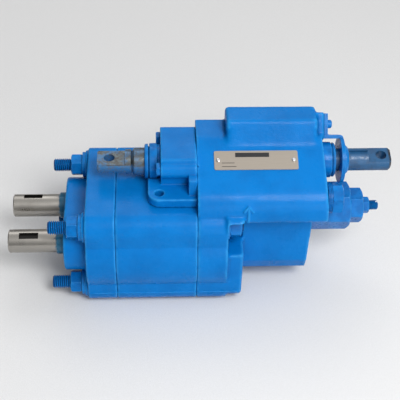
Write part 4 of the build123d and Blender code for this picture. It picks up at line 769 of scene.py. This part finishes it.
# --- geometry node trees ----------------------------------------------------------
class GeometryTree(Graph):
    """A geometry node tree with named inputs, run as a modifier."""

    def __init__(self, name: str, inputs: dict[str, tuple[str, object]]) -> None:
        """Make the tree and its sockets.

        Args:
            name: the tree's name.
            inputs: name to socket type and usual value.
        """
        super().__init__(bpy.data.node_groups.new(name, "GeometryNodeTree"))
        face = self.tree.interface
        face.new_socket("Geometry", in_out="INPUT", socket_type="NodeSocketGeometry")
        for label, (kind, usual) in inputs.items():
            socket = face.new_socket(label, in_out="INPUT", socket_type=kind)
            if usual is not None:
                socket.default_value = usual
        face.new_socket("Geometry", in_out="OUTPUT", socket_type="NodeSocketGeometry")
        self.given = self.node("NodeGroupInput").outputs
        self.result = self.node("NodeGroupOutput").inputs[0]

    def finish(self, geometry: bpy.types.NodeSocket) -> None:
        """End the tree in real meshes with their material.

        Args:
            geometry: the socket that carries the finished geometry.
        """
        real = self.node("GeometryNodeRealizeInstances")
        self.feed(real.inputs[0], geometry)
        dressed = self.node("GeometryNodeSetMaterial")
        self.feed(dressed.inputs["Geometry"], real.outputs[0])
        self.feed(dressed.inputs["Material"], self.given["Material"])
        self.feed(self.result, dressed.outputs[0])

    def run(self, piece: bpy.types.Object, **values: object) -> None:
        """Run the tree on an object and keep the result as its mesh.

        Args:
            piece: the object that the tree starts from.
            **values: input name, with _ for a space, to value.
        """
        modifier = piece.modifiers.new(self.tree.name, "NODES")
        modifier.node_group = self.tree
        wanted = {key.replace("_", " "): value for key, value in values.items()}
        for item in self.tree.interface.items_tree:
            if item.in_out == "INPUT" and item.name in wanted:
                modifier[item.identifier] = wanted[item.name]
        made_plain(piece)


class ThreadTree(GeometryTree):
    """Threaded rod along X on each point of the mesh that it is given."""

    AROUND = 40
    ROWS_PER_PITCH = 8
    CREST_GAIN = 1.35
    CREST_CUT = 0.15
    SEAM_REACH = 0.000002

    def __init__(self) -> None:
        """Build the tree."""
        sizes = ("Radius", "Depth", "Pitch", "Start", "End", "Chamfer")
        inputs = {label: ("NodeSocketFloat", 0.0) for label in sizes}
        inputs["Material"] = ("NodeSocketMaterial", None)
        super().__init__("threaded_rod", inputs)
        given = self.given
        length = self.math("SUBTRACT", given["End"], given["Start"])
        rows = self.math("MULTIPLY", self.math("DIVIDE", length, given["Pitch"]), self.ROWS_PER_PITCH)
        grid = self.node("GeometryNodeMeshGrid")
        self.feed(grid.inputs["Size X"], 1.0)
        self.feed(grid.inputs["Size Y"], 1.0)
        self.feed(grid.inputs["Vertices X"], self.AROUND + 1)
        self.feed(grid.inputs["Vertices Y"], self.math("ADD", rows, 2.0))
        place = self.node("ShaderNodeSeparateXYZ")
        self.feed(place.inputs[0], self.node("GeometryNodeInputPosition").outputs[0])
        turn = self.math("ADD", place.outputs[0], 0.5)
        share = self.math("ADD", place.outputs[1], 0.5)
        station = self.math("ADD", given["Start"], self.math("MULTIPLY", share, length))
        phase = self.math("FRACT", self.math("SUBTRACT", self.math("DIVIDE", station, given["Pitch"]), turn))
        ridge = self.math("ABSOLUTE", self.math("SUBTRACT", self.math("MULTIPLY", phase, 2.0), 1.0))
        steep = self.math("MULTIPLY", ridge, self.CREST_GAIN)
        crest = self.math("SUBTRACT", steep, self.CREST_CUT, clamp=True)
        sunk = self.math("MULTIPLY", given["Depth"], self.math("SUBTRACT", 1.0, crest))
        threaded = self.math("SUBTRACT", given["Radius"], sunk)
        from_start = self.math("SUBTRACT", station, given["Start"])
        from_end = self.math("MINIMUM", from_start, self.math("SUBTRACT", given["End"], station))
        end_radius = self.math("SUBTRACT", given["Radius"], given["Chamfer"])
        radius = self.math("MINIMUM", threaded, self.math("ADD", end_radius, from_end))
        angle = self.math("MULTIPLY", turn, 2 * math.pi)
        skin = self.wrapped(grid.outputs[0], station, radius, angle)
        cap = self.node("GeometryNodeMeshCircle", fill_type="TRIANGLE_FAN")
        self.feed(cap.inputs["Vertices"], self.AROUND)
        self.feed(cap.inputs["Radius"], end_radius)
        join = self.node("GeometryNodeJoinGeometry")
        self.feed(join.inputs[0], skin)
        for end in ("Start", "End"):
            flat = self.node("ShaderNodeCombineXYZ")
            self.feed(flat.inputs[0], given[end])
            self.feed(flat.inputs[1], place.outputs[0])
            self.feed(flat.inputs[2], place.outputs[1])
            self.feed(join.inputs[0], self.moved(cap.outputs[0], flat.outputs[0]))
        closed = self.node("GeometryNodeMergeByDistance")
        self.feed(closed.inputs["Geometry"], join.outputs[0])
        self.feed(closed.inputs["Distance"], self.SEAM_REACH)
        spread = self.node("GeometryNodeInstanceOnPoints")
        self.feed(spread.inputs["Points"], given["Geometry"])
        self.feed(spread.inputs["Instance"], closed.outputs[0])
        self.finish(spread.outputs[0])

    def moved(self, geometry: bpy.types.NodeSocket, position: bpy.types.NodeSocket) -> bpy.types.NodeSocket:
        """Put every point of a geometry at a worked-out place.

        Args:
            geometry: what is moved.
            position: where each point goes.

        Returns:
            The moved geometry's socket.
        """
        node = self.node("GeometryNodeSetPosition")
        self.feed(node.inputs["Geometry"], geometry)
        self.feed(node.inputs["Position"], position)
        return node.outputs[0]

    def wrapped(self, grid: object, station: object, radius: object, angle: object) -> bpy.types.NodeSocket:
        """Roll a grid up round the X axis.

        Args:
            grid: the grid's geometry.
            station: distance along X.
            radius: distance from the axis.
            angle: turn about the axis, from +Y.

        Returns:
            The rolled geometry's socket.
        """
        position = self.node("ShaderNodeCombineXYZ")
        self.feed(position.inputs[0], station)
        self.feed(position.inputs[1], self.math("MULTIPLY", radius, self.math("COSINE", angle)))
        self.feed(position.inputs[2], self.math("MULTIPLY", radius, self.math("SINE", angle)))
        return self.moved(grid, position.outputs[0])


class CastSkinTree(GeometryTree):
    """Uneven skin of a sand casting: slow swells and a finer grain, along each normal."""

    def __init__(self) -> None:
        """Build the tree."""
        super().__init__(
            "cast_skin",
            {
                "Swell": ("NodeSocketFloat", 0.0002),
                "Swell Scale": ("NodeSocketFloat", 55.0),
                "Grain": ("NodeSocketFloat", 0.00005),
                "Grain Scale": ("NodeSocketFloat", 300.0),
                "Sink": ("NodeSocketFloat", 0.6),
                "Material": ("NodeSocketMaterial", None),
            },
        )
        position = self.node("GeometryNodeInputPosition").outputs[0]
        heights = []
        for size, scale in (("Swell", "Swell Scale"), ("Grain", "Grain Scale")):
            cloud = self.noise(position, self.given[scale])
            centred = self.math("SUBTRACT", cloud, self.given["Sink"])
            heights.append(self.math("MULTIPLY", centred, self.given[size]))
        push = self.node("ShaderNodeVectorMath", operation="SCALE")
        self.feed(push.inputs[0], self.node("GeometryNodeInputNormal").outputs[0])
        self.feed(push.inputs["Scale"], self.math("ADD", *heights))
        skin = self.node("GeometryNodeSetPosition")
        self.feed(skin.inputs["Geometry"], self.given["Geometry"])
        self.feed(skin.inputs["Offset"], push.outputs[0])
        self.finish(skin.outputs[0])


class PipTree(GeometryTree):
    """Small blisters and grains standing on a casting's faces."""

    def __init__(self) -> None:
        """Build the tree."""
        super().__init__(
            "casting_pips",
            {
                "Density": ("NodeSocketFloat", 9000.0),
                "Smallest": ("NodeSocketFloat", 0.00018),
                "Largest": ("NodeSocketFloat", 0.00050),
                "Flatness": ("NodeSocketFloat", 0.45),
                "Seed": ("NodeSocketInt", 7),
                "Material": ("NodeSocketMaterial", None),
            },
        )
        spots = self.node("GeometryNodeDistributePointsOnFaces")
        self.feed(spots.inputs["Mesh"], self.given["Geometry"])
        self.feed(spots.inputs["Density"], self.given["Density"])
        self.feed(spots.inputs["Seed"], self.given["Seed"])
        dome = self.node("GeometryNodeMeshIcoSphere")
        self.feed(dome.inputs["Radius"], 1.0)
        self.feed(dome.inputs["Subdivisions"], 2)
        size = self.node("FunctionNodeRandomValue", data_type="FLOAT")
        self.feed(size.inputs[2], self.given["Smallest"])
        self.feed(size.inputs[3], self.given["Largest"])
        self.feed(size.inputs["Seed"], self.given["Seed"])
        girth = self.node("ShaderNodeCombineXYZ")
        self.feed(girth.inputs[0], size.outputs[1])
        self.feed(girth.inputs[1], size.outputs[1])
        self.feed(girth.inputs[2], self.math("MULTIPLY", size.outputs[1], self.given["Flatness"]))
        spread = self.node("GeometryNodeInstanceOnPoints")
        self.feed(spread.inputs["Points"], spots.outputs["Points"])
        self.feed(spread.inputs["Instance"], dome.outputs[0])
        self.feed(spread.inputs["Rotation"], spots.outputs["Rotation"])
        self.feed(spread.inputs["Scale"], girth.outputs[0])
        self.finish(spread.outputs[0])


# --- sub-assemblies ---------------------------------------------------------------
@dataclass(frozen=True)
class BoreRelief:
    """A bore along X that a moving piece runs in, kept clear in a casting's skin."""

    y: float
    z: float
    near: float
    radius: float

    def clear(self, mesh: bpy.types.Mesh) -> None:
        """Push the points of the bore's wall out to its radius.

        Args:
            mesh: the casting's mesh.
        """
        points = np.empty(len(mesh.vertices) * 3)
        mesh.vertices.foreach_get("co", points)
        points = points.reshape(-1, 3)
        across = points[:, 1:] - (self.y, self.z)
        reach = np.linalg.norm(across, axis=1)
        inside = (reach < self.radius) & (reach > self.near)
        points[inside, 1:] = across[inside] / reach[inside, None] * self.radius + (self.y, self.z)
        mesh.vertices.foreach_set("co", points.ravel())
        mesh.update()


@dataclass
class Castings:
    """The three body castings and the bonnet, with rounded edges and a cast skin."""

    finishes: Finishes
    voxels: dict[str, float] = field(
        default_factory=lambda: {
            "front_cover": 0.00090,
            "gear_housing": 0.00103,
            "valve_housing": 0.00125,
            "spool_bonnet": 0.00075,
        }
    )
    smoothing: int = 3
    swell: float = 0.00022
    grain: float = 0.00005
    spool_bore: BoreRelief = BoreRelief(y=0.008, z=0.06913, near=0.011, radius=0.0131)
    blend_node: str = "valve_housing"
    blend_low: Point = (0.142, -0.001, 0.088)
    blend_high: Point = (0.236, 0.0135, 0.1035)
    blend_rounds: int = 40

    def blend(self, piece: bpy.types.Object) -> None:
        """Blend the foot of the ridge softly into the sloped shoulder.

        Args:
            piece: the casting with the ridge.
        """
        group = piece.vertex_groups.new(name="ridge_foot")
        low, high = self.blend_low, self.blend_high
        inside = [
            point.index
            for point in piece.data.vertices
            if all(low[axis] < point.co[axis] < high[axis] for axis in range(3))
        ]
        group.add(inside, 1.0, "REPLACE")
        soften = piece.modifiers.new("ridge_foot", "SMOOTH")
        soften.factor = 0.5
        soften.iterations = self.blend_rounds
        soften.vertex_group = group.name
        made_plain(piece)

    def skin(self, node: str, tree: CastSkinTree) -> bpy.types.Object:
        """Rounded, slightly uneven copy of one casting.

        Args:
            node: the CAD node.
            tree: the tree that makes its surface uneven.

        Returns:
            The finished casting.
        """
        piece = softened_copy(node, f"{node}_casting", self.voxels[node], self.smoothing)
        if node == self.blend_node:
            self.blend(piece)
        tree.run(piece, Swell=self.swell, Grain=self.grain, Material=self.finishes.casting)
        add_curvature(piece.data, reach=3, gain=0.10)
        return piece

    def build(self) -> list[bpy.types.Object]:
        """Make all the castings.

        Returns:
            The finished castings.
        """
        tree = CastSkinTree()
        castings = []
        for node in self.voxels:
            piece = self.skin(node, tree)
            self.spool_bore.clear(piece.data)
            place_piece(piece, Body.PUMP, (node,))
            castings.append(piece)
        return castings


@dataclass
class CastingPips:
    """Grains and blisters left by the sand, on the castings' outer faces."""

    finishes: Finishes
    density: float = 7000.0
    seed: int = 7
    bore_reach: float = 0.012
    middle_z: float = 0.02
    core_reach: float = 0.036
    least_outward: float = 0.5
    foot_gap: float = 0.002

    def outer_faces(self, casting: bpy.types.Object, name: str) -> bpy.types.Object:
        """Copy of the casting's faces that look away from the pump's middle line.

        Args:
            casting: the casting.
            name: the copy's name.

        Returns:
            The copy.
        """
        shape = bmesh.new()
        shape.from_mesh(casting.data)
        low = CAD_BOX[0]
        plug_low, plug_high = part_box("check_plug")
        bore = (plug_low + plug_high) / 2
        hidden = []
        for face in shape.faces:
            middle = face.calc_center_median()
            in_bore = math.hypot(middle.y - bore.y, middle.z - bore.z) < self.bore_reach
            outward = Vector((0.0, middle.y, middle.z - self.middle_z)).normalized()
            turned_in = face.normal.dot(outward) < self.least_outward
            in_core = abs(middle.y) < self.core_reach and middle.z < self.core_reach
            if turned_in or in_core or in_bore or middle.z < low.z + self.foot_gap:
                hidden.append(face)
        bmesh.ops.delete(shape, geom=hidden, context="FACES")
        mesh = bpy.data.meshes.new(name)
        shape.to_mesh(mesh)
        shape.free()
        return new_object(name, mesh)

    def build(self, castings: list[bpy.types.Object]) -> None:
        """Scatter the pips over the castings.

        Args:
            castings: the finished castings.
        """
        tree = PipTree()
        for number, casting in enumerate(castings):
            piece = self.outer_faces(casting, f"{casting.name}_pips")
            tree.run(piece, Density=self.density, Seed=self.seed + number, Material=self.finishes.casting)
            piece.data.shade_smooth()
            place_piece(piece, Body.PUMP)


class BeadTree(GeometryTree):
    """Rounded bead along the edges of the mesh that it is given."""

    def __init__(self) -> None:
        """Build the tree."""
        super().__init__(
            "raised_bead",
            {
                "Radius": ("NodeSocketFloat", 0.0006),
                "Around": ("NodeSocketInt", 12),
                "Brightness": ("NodeSocketFloat", 0.5),
                "Material": ("NodeSocketMaterial", None),
            },
        )
        line = self.node("GeometryNodeMeshToCurve")
        self.feed(line.inputs[0], self.given["Geometry"])
        profile = self.node("GeometryNodeCurvePrimitiveCircle")
        self.feed(profile.inputs["Resolution"], self.given["Around"])
        self.feed(profile.inputs["Radius"], self.given["Radius"])
        bead = self.node("GeometryNodeCurveToMesh")
        self.feed(bead.inputs["Curve"], line.outputs[0])
        self.feed(bead.inputs["Profile Curve"], profile.outputs[0])
        self.feed(bead.inputs["Fill Caps"], True)
        # the stored edge value gives the bead the enamel's painted edge highlight
        marked = self.node("GeometryNodeStoreNamedAttribute", data_type="FLOAT", domain="POINT")
        self.feed(marked.inputs["Geometry"], bead.outputs[0])
        self.feed(marked.inputs["Name"], EDGE_LAYER)
        self.feed(marked.inputs["Value"], self.given["Brightness"])
        self.finish(marked.outputs[0])


@dataclass
class CastLines:
    """The mould's parting line along the near side, and the cast flow arrow."""

    finishes: Finishes
    near_y: float = -0.06177
    parting_z: float = -0.0352
    parting_start: float = 0.0185
    parting_end: float = 0.1600
    parting_radius: float = 0.00055
    parting_steps: int = 120
    # share of the painted edge highlight on the parting line
    parting_brightness: float = 0.55
    proud: float = 0.0005
    wander: float = 0.00022
    waves: tuple[Point, ...] = ((1.0, 900.0, 0.0), (0.6, 2300.0, 1.0))
    arrow_x: float = 0.166
    arrow_foot: float = 0.0455
    arrow_length: float = 0.0165
    arrow_barb: float = 0.0068
    arrow_lean: float = math.radians(38.0)
    arrow_radius: float = 0.00135
    arrow_steps: int = 12
    arrow_sink: float = 0.0003
    # share of the painted edge highlight on the arrow
    arrow_brightness: float = 0.8
    outside_y: float = -0.1

    def bead(self, tree: BeadTree, name: str, line: list[Point], radius: float, brightness: float) -> None:
        """Bead along a line.

        Args:
            tree: the tree that makes it.
            name: the piece's name.
            line: the points along it.
            radius: the bead's radius.
            brightness: how much of the painted edge highlight it has.
        """
        mesh = bpy.data.meshes.new(name)
        links = [(place, place + 1) for place in range(len(line) - 1)]
        mesh.from_pydata(line, links, [])
        piece = new_object(name, mesh)
        tree.run(piece, Radius=radius, Brightness=brightness, Material=self.finishes.casting)
        right_way_out(piece.data)
        piece.data.shade_smooth()
        place_piece(piece, Body.PUMP)

    def arrow_strokes(self) -> dict[str, list[Point]]:
        """Ends of the arrow's three strokes, along X and Z.

        Returns:
            Stroke name to its two ends.
        """
        tip = (self.arrow_x, self.arrow_foot + self.arrow_length)
        strokes = {"shaft": [(self.arrow_x, self.arrow_foot), tip]}
        for label, side in (("left", -1), ("right", 1)):
            end_x = tip[0] + side * self.arrow_barb * math.sin(self.arrow_lean)
            end_z = tip[1] - self.arrow_barb * math.cos(self.arrow_lean)
            strokes[label] = [tip, (end_x, end_z)]
        return strokes

    def build(self, castings: list[bpy.types.Object]) -> None:
        """Lay the lines on the castings.

        Args:
            castings: the finished castings.
        """
        tree = BeadTree()
        graph = bpy.context.evaluated_depsgraph_get()
        skins = [BVHTree.FromObject(casting, graph) for casting in castings]

        def on_skin(x: float, z: float) -> Point | None:
            """Outermost point of the near side at a place.

            Args:
                x: place along X.
                z: place along Z.

            Returns:
                The point, or None where no casting is there.
            """
            start = Vector((x, self.outside_y, z))
            hits = [skin.ray_cast(start, Vector((0, 1, 0)))[0] for skin in skins]
            found = [hit for hit in hits if hit is not None]
            return tuple(min(found, key=lambda hit: hit.y)) if found else None

        line = []
        length = self.parting_end - self.parting_start
        for step in range(self.parting_steps + 1):
            x = self.parting_start + length * step / self.parting_steps
            sway = sum(size * math.sin(x * rate + shift) for size, rate, shift in self.waves)
            place = on_skin(x, self.parting_z + sway * self.wander)
            if place:
                line.append((place[0], max(place[1], self.near_y - self.proud), place[2]))
        self.bead(tree, "parting_line", line, self.parting_radius, self.parting_brightness)
        for label, (first, last) in self.arrow_strokes().items():
            points = []
            for step in range(self.arrow_steps + 1):
                share = step / self.arrow_steps
                x = first[0] + (last[0] - first[0]) * share
                z = first[1] + (last[1] - first[1]) * share
                place = on_skin(x, z)
                points.append((place[0], place[1] + self.arrow_sink, place[2]))
            self.bead(tree, f"flow_arrow_{label}", points, self.arrow_radius, self.arrow_brightness)


@dataclass
class PaintedHardware:
    """Nuts, washers, plugs, caps and plates, with the soft edges that paint gives them."""

    finishes: Finishes
    voxels: dict[str, float] = field(
        default_factory=lambda: {
            "stud_nuts": 0.00036,
            "stud_washers": 0.00034,
            "rear_stud_nuts": 0.00036,
            "rear_stud_washers": 0.00034,
            "bonnet_screws": 0.0003,
            "bracket_screw": 0.00022,
            "stop_bracket": 0.00036,
            "relief_body": 0.00055,
            "relief_cap": 0.0004,
            "lock_nut": 0.00028,
            "seal_retainer": 0.0004,
            "wiper_disc": 0.0003,
            "guide_bush": 0.0003,
            "tail_cap": 0.0004,
        }
    )
    smoothing: int = 2

    def build(self) -> None:
        """Make every piece of hardware."""
        for node, voxel in self.voxels.items():
            piece = softened_copy(node, f"{node}_painted", voxel, self.smoothing)
            piece.data.materials.clear()
            piece.data.materials.append(self.finishes.hardware)
            add_curvature(piece.data, reach=4, gain=0.12)
            place_piece(piece, Body.PUMP, (node,))


@dataclass
class Threads:
    """Rolled threads on the clamping studs and on the adjusting screw."""

    finishes: Finishes
    stud_pitch: float = 25.4 * MM / 13
    stud_depth: float = 1.15 * MM
    stud_radius: float = 6.35 * MM
    stud_chamfer: float = 1.25 * MM
    front_thread: float = 29.0 * MM
    rear_thread: float = 17.0 * MM
    screw_pitch: float = 25.4 * MM / 24
    screw_depth: float = 0.6 * MM
    screw_radius: float = 4.75 * MM
    screw_chamfer: float = 1.2 * MM
    end_face_share: float = 1.3
    shank_share: float = 0.4
    shank_pitch: float = 100.0 * MM
    shank_overlap: float = 1.0 * MM
    slot_size: Point = (5.0 * MM, 1.6 * MM, 12.0 * MM)

    def rods(self, tree: ThreadTree, name: str, places: list[Point], **sizes: float) -> bpy.types.Object:
        """Threaded rods at some places.

        Args:
            tree: the thread's tree.
            name: the piece's name.
            places: a point on each rod's axis, at X = 0.
            **sizes: the tree's inputs.

        Returns:
            The finished piece.
        """
        mesh = bpy.data.meshes.new(name)
        mesh.from_pydata(places, [], [])
        piece = new_object(name, mesh)
        tree.run(piece, Material=self.finishes.hardware, **sizes)
        right_way_out(piece.data)
        piece.data.shade_smooth()
        add_curvature(piece.data, reach=1, gain=0.85)
        if sizes["Depth"] > 0.0:
            self.shade_grooves(piece.data, places, sizes["Radius"], sizes["Depth"])
        return piece

    def shade_grooves(self, mesh: bpy.types.Mesh, places: list[Point], radius: float, depth: float) -> None:
        """Store how deep in the thread's groove each point lies.

        Args:
            mesh: the threaded rods.
            places: a point on each rod's axis.
            radius: the thread's outer radius.
            depth: the groove's depth.
        """
        points = np.empty(len(mesh.vertices) * 3)
        mesh.vertices.foreach_get("co", points)
        across = points.reshape(-1, 3)[:, 1:]
        axes = np.array([place[1:] for place in places])
        reach = np.sqrt(((across[:, None, :] - axes[None, :, :]) ** 2).sum(2)).min(1)
        sunk = (radius - reach) / depth
        sunk[sunk > self.end_face_share] = 0.0
        layer = mesh.attributes[HOLLOW_LAYER]
        layer.data.foreach_set("value", np.clip(sunk, 0.0, 1.0).astype(np.float32))

    def build(self) -> None:
        """Make the studs and the adjusting screw."""
        tree = ThreadTree()
        low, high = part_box("body_studs")
        y = high.y - self.stud_radius
        z = high.z - self.stud_radius
        all_places = [(0.0, side * y, rise * z) for side in (-1, 1) for rise in (-1, 1)]
        upper = [(0.0, side * y, z) for side in (-1, 1)]
        thread = {
            "Radius": self.stud_radius,
            "Depth": self.stud_depth,
            "Pitch": self.stud_pitch,
            "Chamfer": self.stud_chamfer,
        }
        front_end = low.x + self.front_thread
        rear_start = high.x - self.rear_thread
        front = self.rods(tree, "stud_front_threads", all_places, Start=low.x, End=front_end, **thread)
        place_piece(front, Body.PUMP, ("body_studs",))
        rear = self.rods(tree, "stud_rear_threads", upper, Start=rear_start, End=high.x, **thread)
        place_piece(rear, Body.PUMP)
        shank_radius = self.stud_radius - self.stud_depth * self.shank_share
        plain = {**thread, "Depth": 0.0, "Radius": shank_radius, "Pitch": self.shank_pitch}
        start = front_end - self.shank_overlap
        end = rear_start + self.shank_overlap
        shanks = self.rods(tree, "stud_shanks", all_places, Start=start, End=end, **plain)
        place_piece(shanks, Body.PUMP)
        self.adjusting_screw(tree)

    def adjusting_screw(self, tree: ThreadTree) -> None:
        """Make the slotted screw that sets the relief valve.

        Args:
            tree: the thread's tree.
        """
        low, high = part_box("adjusting_screw")
        middle = (low + high) / 2
        screw = self.rods(
            tree,
            "adjusting_screw_threaded",
            [(0.0, middle.y, middle.z)],
            Start=low.x,
            End=high.x,
            Radius=self.screw_radius,
            Depth=self.screw_depth,
            Pitch=self.screw_pitch,
            Chamfer=self.screw_chamfer,
        )
        slot_mesh = bpy.data.meshes.new("screwdriver_slot")
        shape = bmesh.new()
        bmesh.ops.create_cube(shape, size=1.0)
        bmesh.ops.scale(shape, vec=self.slot_size, verts=shape.verts)
        bmesh.ops.translate(shape, vec=(high.x, middle.y, middle.z), verts=shape.verts)
        shape.to_mesh(slot_mesh)
        shape.free()
        cutter = new_object("screwdriver_slot", slot_mesh)
        cut = screw.modifiers.new("slot", "BOOLEAN")
        cut.operation = "DIFFERENCE"
        cut.solver = "EXACT"
        cut.object = cutter
        made_plain(screw)
        bpy.data.objects.remove(cutter)
        place_piece(screw, Body.ADJUSTER, ("adjusting_screw",))


@dataclass
class PlatePrint:
    """Blank black bar and two rules printed on the plate, with no lettering."""

    finishes: Finishes
    thickness: float = 0.00006
    corner: float = 0.0003
    rule_height: float = 0.00055
    plate_thickness: float = 0.0008
    slope_rise: float = 0.0165
    slope_run: float = 0.040
    bar_place: tuple[float, float] = (-0.045, 0.28)
    bar_share: tuple[float, float] = (0.405, 0.23)
    rules: tuple[Point, ...] = ((-0.335, -0.14, 0.155), (-0.325, -0.33, 0.175))
    corner_steps: int = 4

    def strip(self, name: str, middle: Vector, size: tuple[float, float], place: Matrix) -> bpy.types.Object:
        """Thin printed strip with rounded corners, lying on the plate.

        Args:
            name: the piece's name.
            middle: the strip's middle on the plate, along and across it.
            size: its length and height.
            place: carries the plate's own frame into the pump's.

        Returns:
            The new object.
        """
        half_length, half_height = size[0] / 2, size[1] / 2
        corner = min(self.corner, half_height * 0.9)
        shape = bmesh.new()
        rim = []
        for quarter in range(4):
            centre_x = (half_length - corner) * (1 if quarter in (0, 3) else -1)
            centre_y = (half_height - corner) * (1 if quarter in (0, 1) else -1)
            for step in range(self.corner_steps + 1):
                angle = math.radians(90 * (quarter + step / self.corner_steps))
                x = centre_x + corner * math.cos(angle)
                y = centre_y + corner * math.sin(angle)
                rim.append(shape.verts.new((middle.x + x, middle.y + y, 0.0)))
        face = shape.faces.new(rim)
        raised = bmesh.ops.extrude_face_region(shape, geom=[face])
        moved = [item for item in raised["geom"] if isinstance(item, bmesh.types.BMVert)]
        bmesh.ops.translate(shape, vec=(0, 0, self.thickness), verts=moved)
        bmesh.ops.transform(shape, matrix=place, verts=shape.verts)
        bmesh.ops.recalc_face_normals(shape, faces=shape.faces)
        mesh = bpy.data.meshes.new(name)
        shape.to_mesh(mesh)
        shape.free()
        mesh.materials.append(self.finishes.ink)
        return new_object(name, mesh)

    def build(self) -> None:
        """Print the plate."""
        low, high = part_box("nameplate")
        slope = math.atan2(self.slope_rise, self.slope_run)
        lift = self.plate_thickness
        depth = (high.y - low.y - lift * math.sin(slope)) / math.cos(slope)
        middle = (low + high) / 2
        top_y = middle.y - 0.5 * lift * math.sin(slope)
        top_z = middle.z + 0.5 * lift * math.cos(slope)
        place = Matrix.Translation((middle.x, top_y, top_z)) @ Matrix.Rotation(slope, 4, "X")
        length = high.x - low.x
        bar_middle = Vector((self.bar_place[0] * length, self.bar_place[1] * depth))
        bar_size = (self.bar_share[0] * length, self.bar_share[1] * depth)
        bar = self.strip("plate_bar", bar_middle, bar_size, place)
        place_piece(bar, Body.PUMP)
        for number, (along, across, share) in enumerate(self.rules):
            rule = self.strip(
                f"plate_rule_{number + 1}",
                Vector((along * length, across * depth)),
                (share * length, self.rule_height),
                place,
            )
            place_piece(rule, Body.PUMP)


@dataclass
class DressedNodes:
    """CAD pieces that keep their own shape and take a finish."""

    finishes: Finishes

    def build(self) -> None:
        """Give every CAD node the finish of its slot."""
        slots = {row["node"]: row["material_slot"] for row in frame["record"]["subparts"]}
        finishes = self.finishes.by_slot()
        for name, node in frame["nodes"].items():
            finish = finishes[slots[name]]
            if not node.material_slots:
                node.data.materials.append(finish)
            for place in node.material_slots:
                place.material = finish
        LOG.info("dressed %d nodes", len(frame["nodes"]))


# --- studio -----------------------------------------------------------------------
@dataclass
class Studio:
    """Pale floor, soft lights and the camera."""

    finishes: Finishes
    target: Point = (0.1245, 0.0, 0.02707)
    distance: float = 0.9595
    back: Point = (-0.0452, -0.7490, 0.6609)
    right: Point = (0.9982, -0.0602, 0.0)
    roll: float = math.radians(1.66)
    lens: float = 90.0
    floor_size: float = 6.0
    horizon: float = 0.24
    zenith: float = 0.90
    left_shade: float = 0.16
    lights: tuple[tuple[str, Point, float, float], ...] = (
        ("key_softbox", (0.55, -0.85, 1.15), 0.6, 15.0),
        ("back_softbox", (0.05, 0.90, 1.10), 0.7, 2.5),
        ("low_front_fill", (0.50, -1.30, 0.25), 0.7, 4.0),
    )

    def floor(self) -> None:
        """Lay the floor at the pump's lowest point."""
        low = CAD_BOX[0].z
        half = self.floor_size / 2
        mesh = bpy.data.meshes.new("floor")
        corners = [(-half, -half, low), (half, -half, low), (half, half, low), (-half, half, low)]
        mesh.from_pydata(corners, [], [(0, 1, 2, 3)])
        mesh.materials.append(self.finishes.floor)
        new_object("floor", mesh)

    def world(self) -> None:
        """Surround the pump with white, dimmer toward the horizon."""
        world = bpy.data.worlds.new("studio")
        world.use_nodes = True
        world.node_tree.nodes.clear()
        graph = Graph(world.node_tree)
        direction = graph.node("ShaderNodeSeparateXYZ")
        graph.feed(direction.inputs[0], graph.node("ShaderNodeTexCoord").outputs["Generated"])
        background = graph.node("ShaderNodeBackground")
        background.inputs["Color"].default_value = (1.0, 1.0, 1.0, 1.0)
        rise = graph.ramp(direction.outputs[2], 0.0, 0.9, self.horizon, self.zenith)
        side = graph.ramp(direction.outputs[0], -0.9, 0.2, self.left_shade, 1.0)
        graph.feed(background.inputs["Strength"], graph.math("MULTIPLY", rise, side))
        output = graph.node("ShaderNodeOutputWorld")
        graph.feed(output.inputs["Surface"], background.outputs[0])
        bpy.context.scene.world = world

    def light(self, name: str, place: Point, size: float, power: float) -> None:
        """Set up one softbox aimed at the pump.

        Args:
            name: the light's name.
            place: where it stands.
            size: the length of its side.
            power: its power in watts.
        """
        lamp = bpy.data.lights.new(name, "AREA")
        lamp.size = size
        lamp.energy = power
        stand = bpy.data.objects.new(name, lamp)
        stand.location = place
        aim = Vector(self.target) - Vector(place)
        stand.rotation_euler = aim.to_track_quat("-Z", "Y").to_euler()
        bpy.context.scene.collection.objects.link(stand)

    def camera(self) -> None:
        """Set the camera."""
        back = Vector(self.back).normalized()
        right = Vector(self.right).normalized()
        up = back.cross(right)
        across = right * math.cos(self.roll) + up * math.sin(self.roll)
        upward = up * math.cos(self.roll) - right * math.sin(self.roll)
        lens = bpy.data.cameras.new("camera")
        lens.lens = self.lens
        lens.sensor_width = 36.0
        camera = bpy.data.objects.new("camera", lens)
        turn = Matrix((across, upward, back)).transposed().to_4x4()
        camera.matrix_world = Matrix.Translation(Vector(self.target) + back * self.distance) @ turn
        bpy.context.scene.collection.objects.link(camera)
        bpy.context.scene.camera = camera

    def build(self) -> None:
        """Set up the whole studio."""
        bpy.context.scene.view_settings.view_transform = "Standard"
        self.floor()
        self.world()
        for name, place, size, power in self.lights:
            self.light(name, place, size, power)
        self.camera()
        LOG.info("studio ready")


def main() -> None:
    """Build every sub-assembly in order."""
    logging.basicConfig(level=logging.INFO, format="%(message)s")
    finishes = Finishes()
    DressedNodes(finishes).build()
    castings = Castings(finishes).build()
    CastLines(finishes).build(castings)
    CastingPips(finishes).build(castings)
    PaintedHardware(finishes).build()
    Threads(finishes).build()
    PlatePrint(finishes).build()
    Studio(finishes).build()


if __name__ == "__main__":
    main()
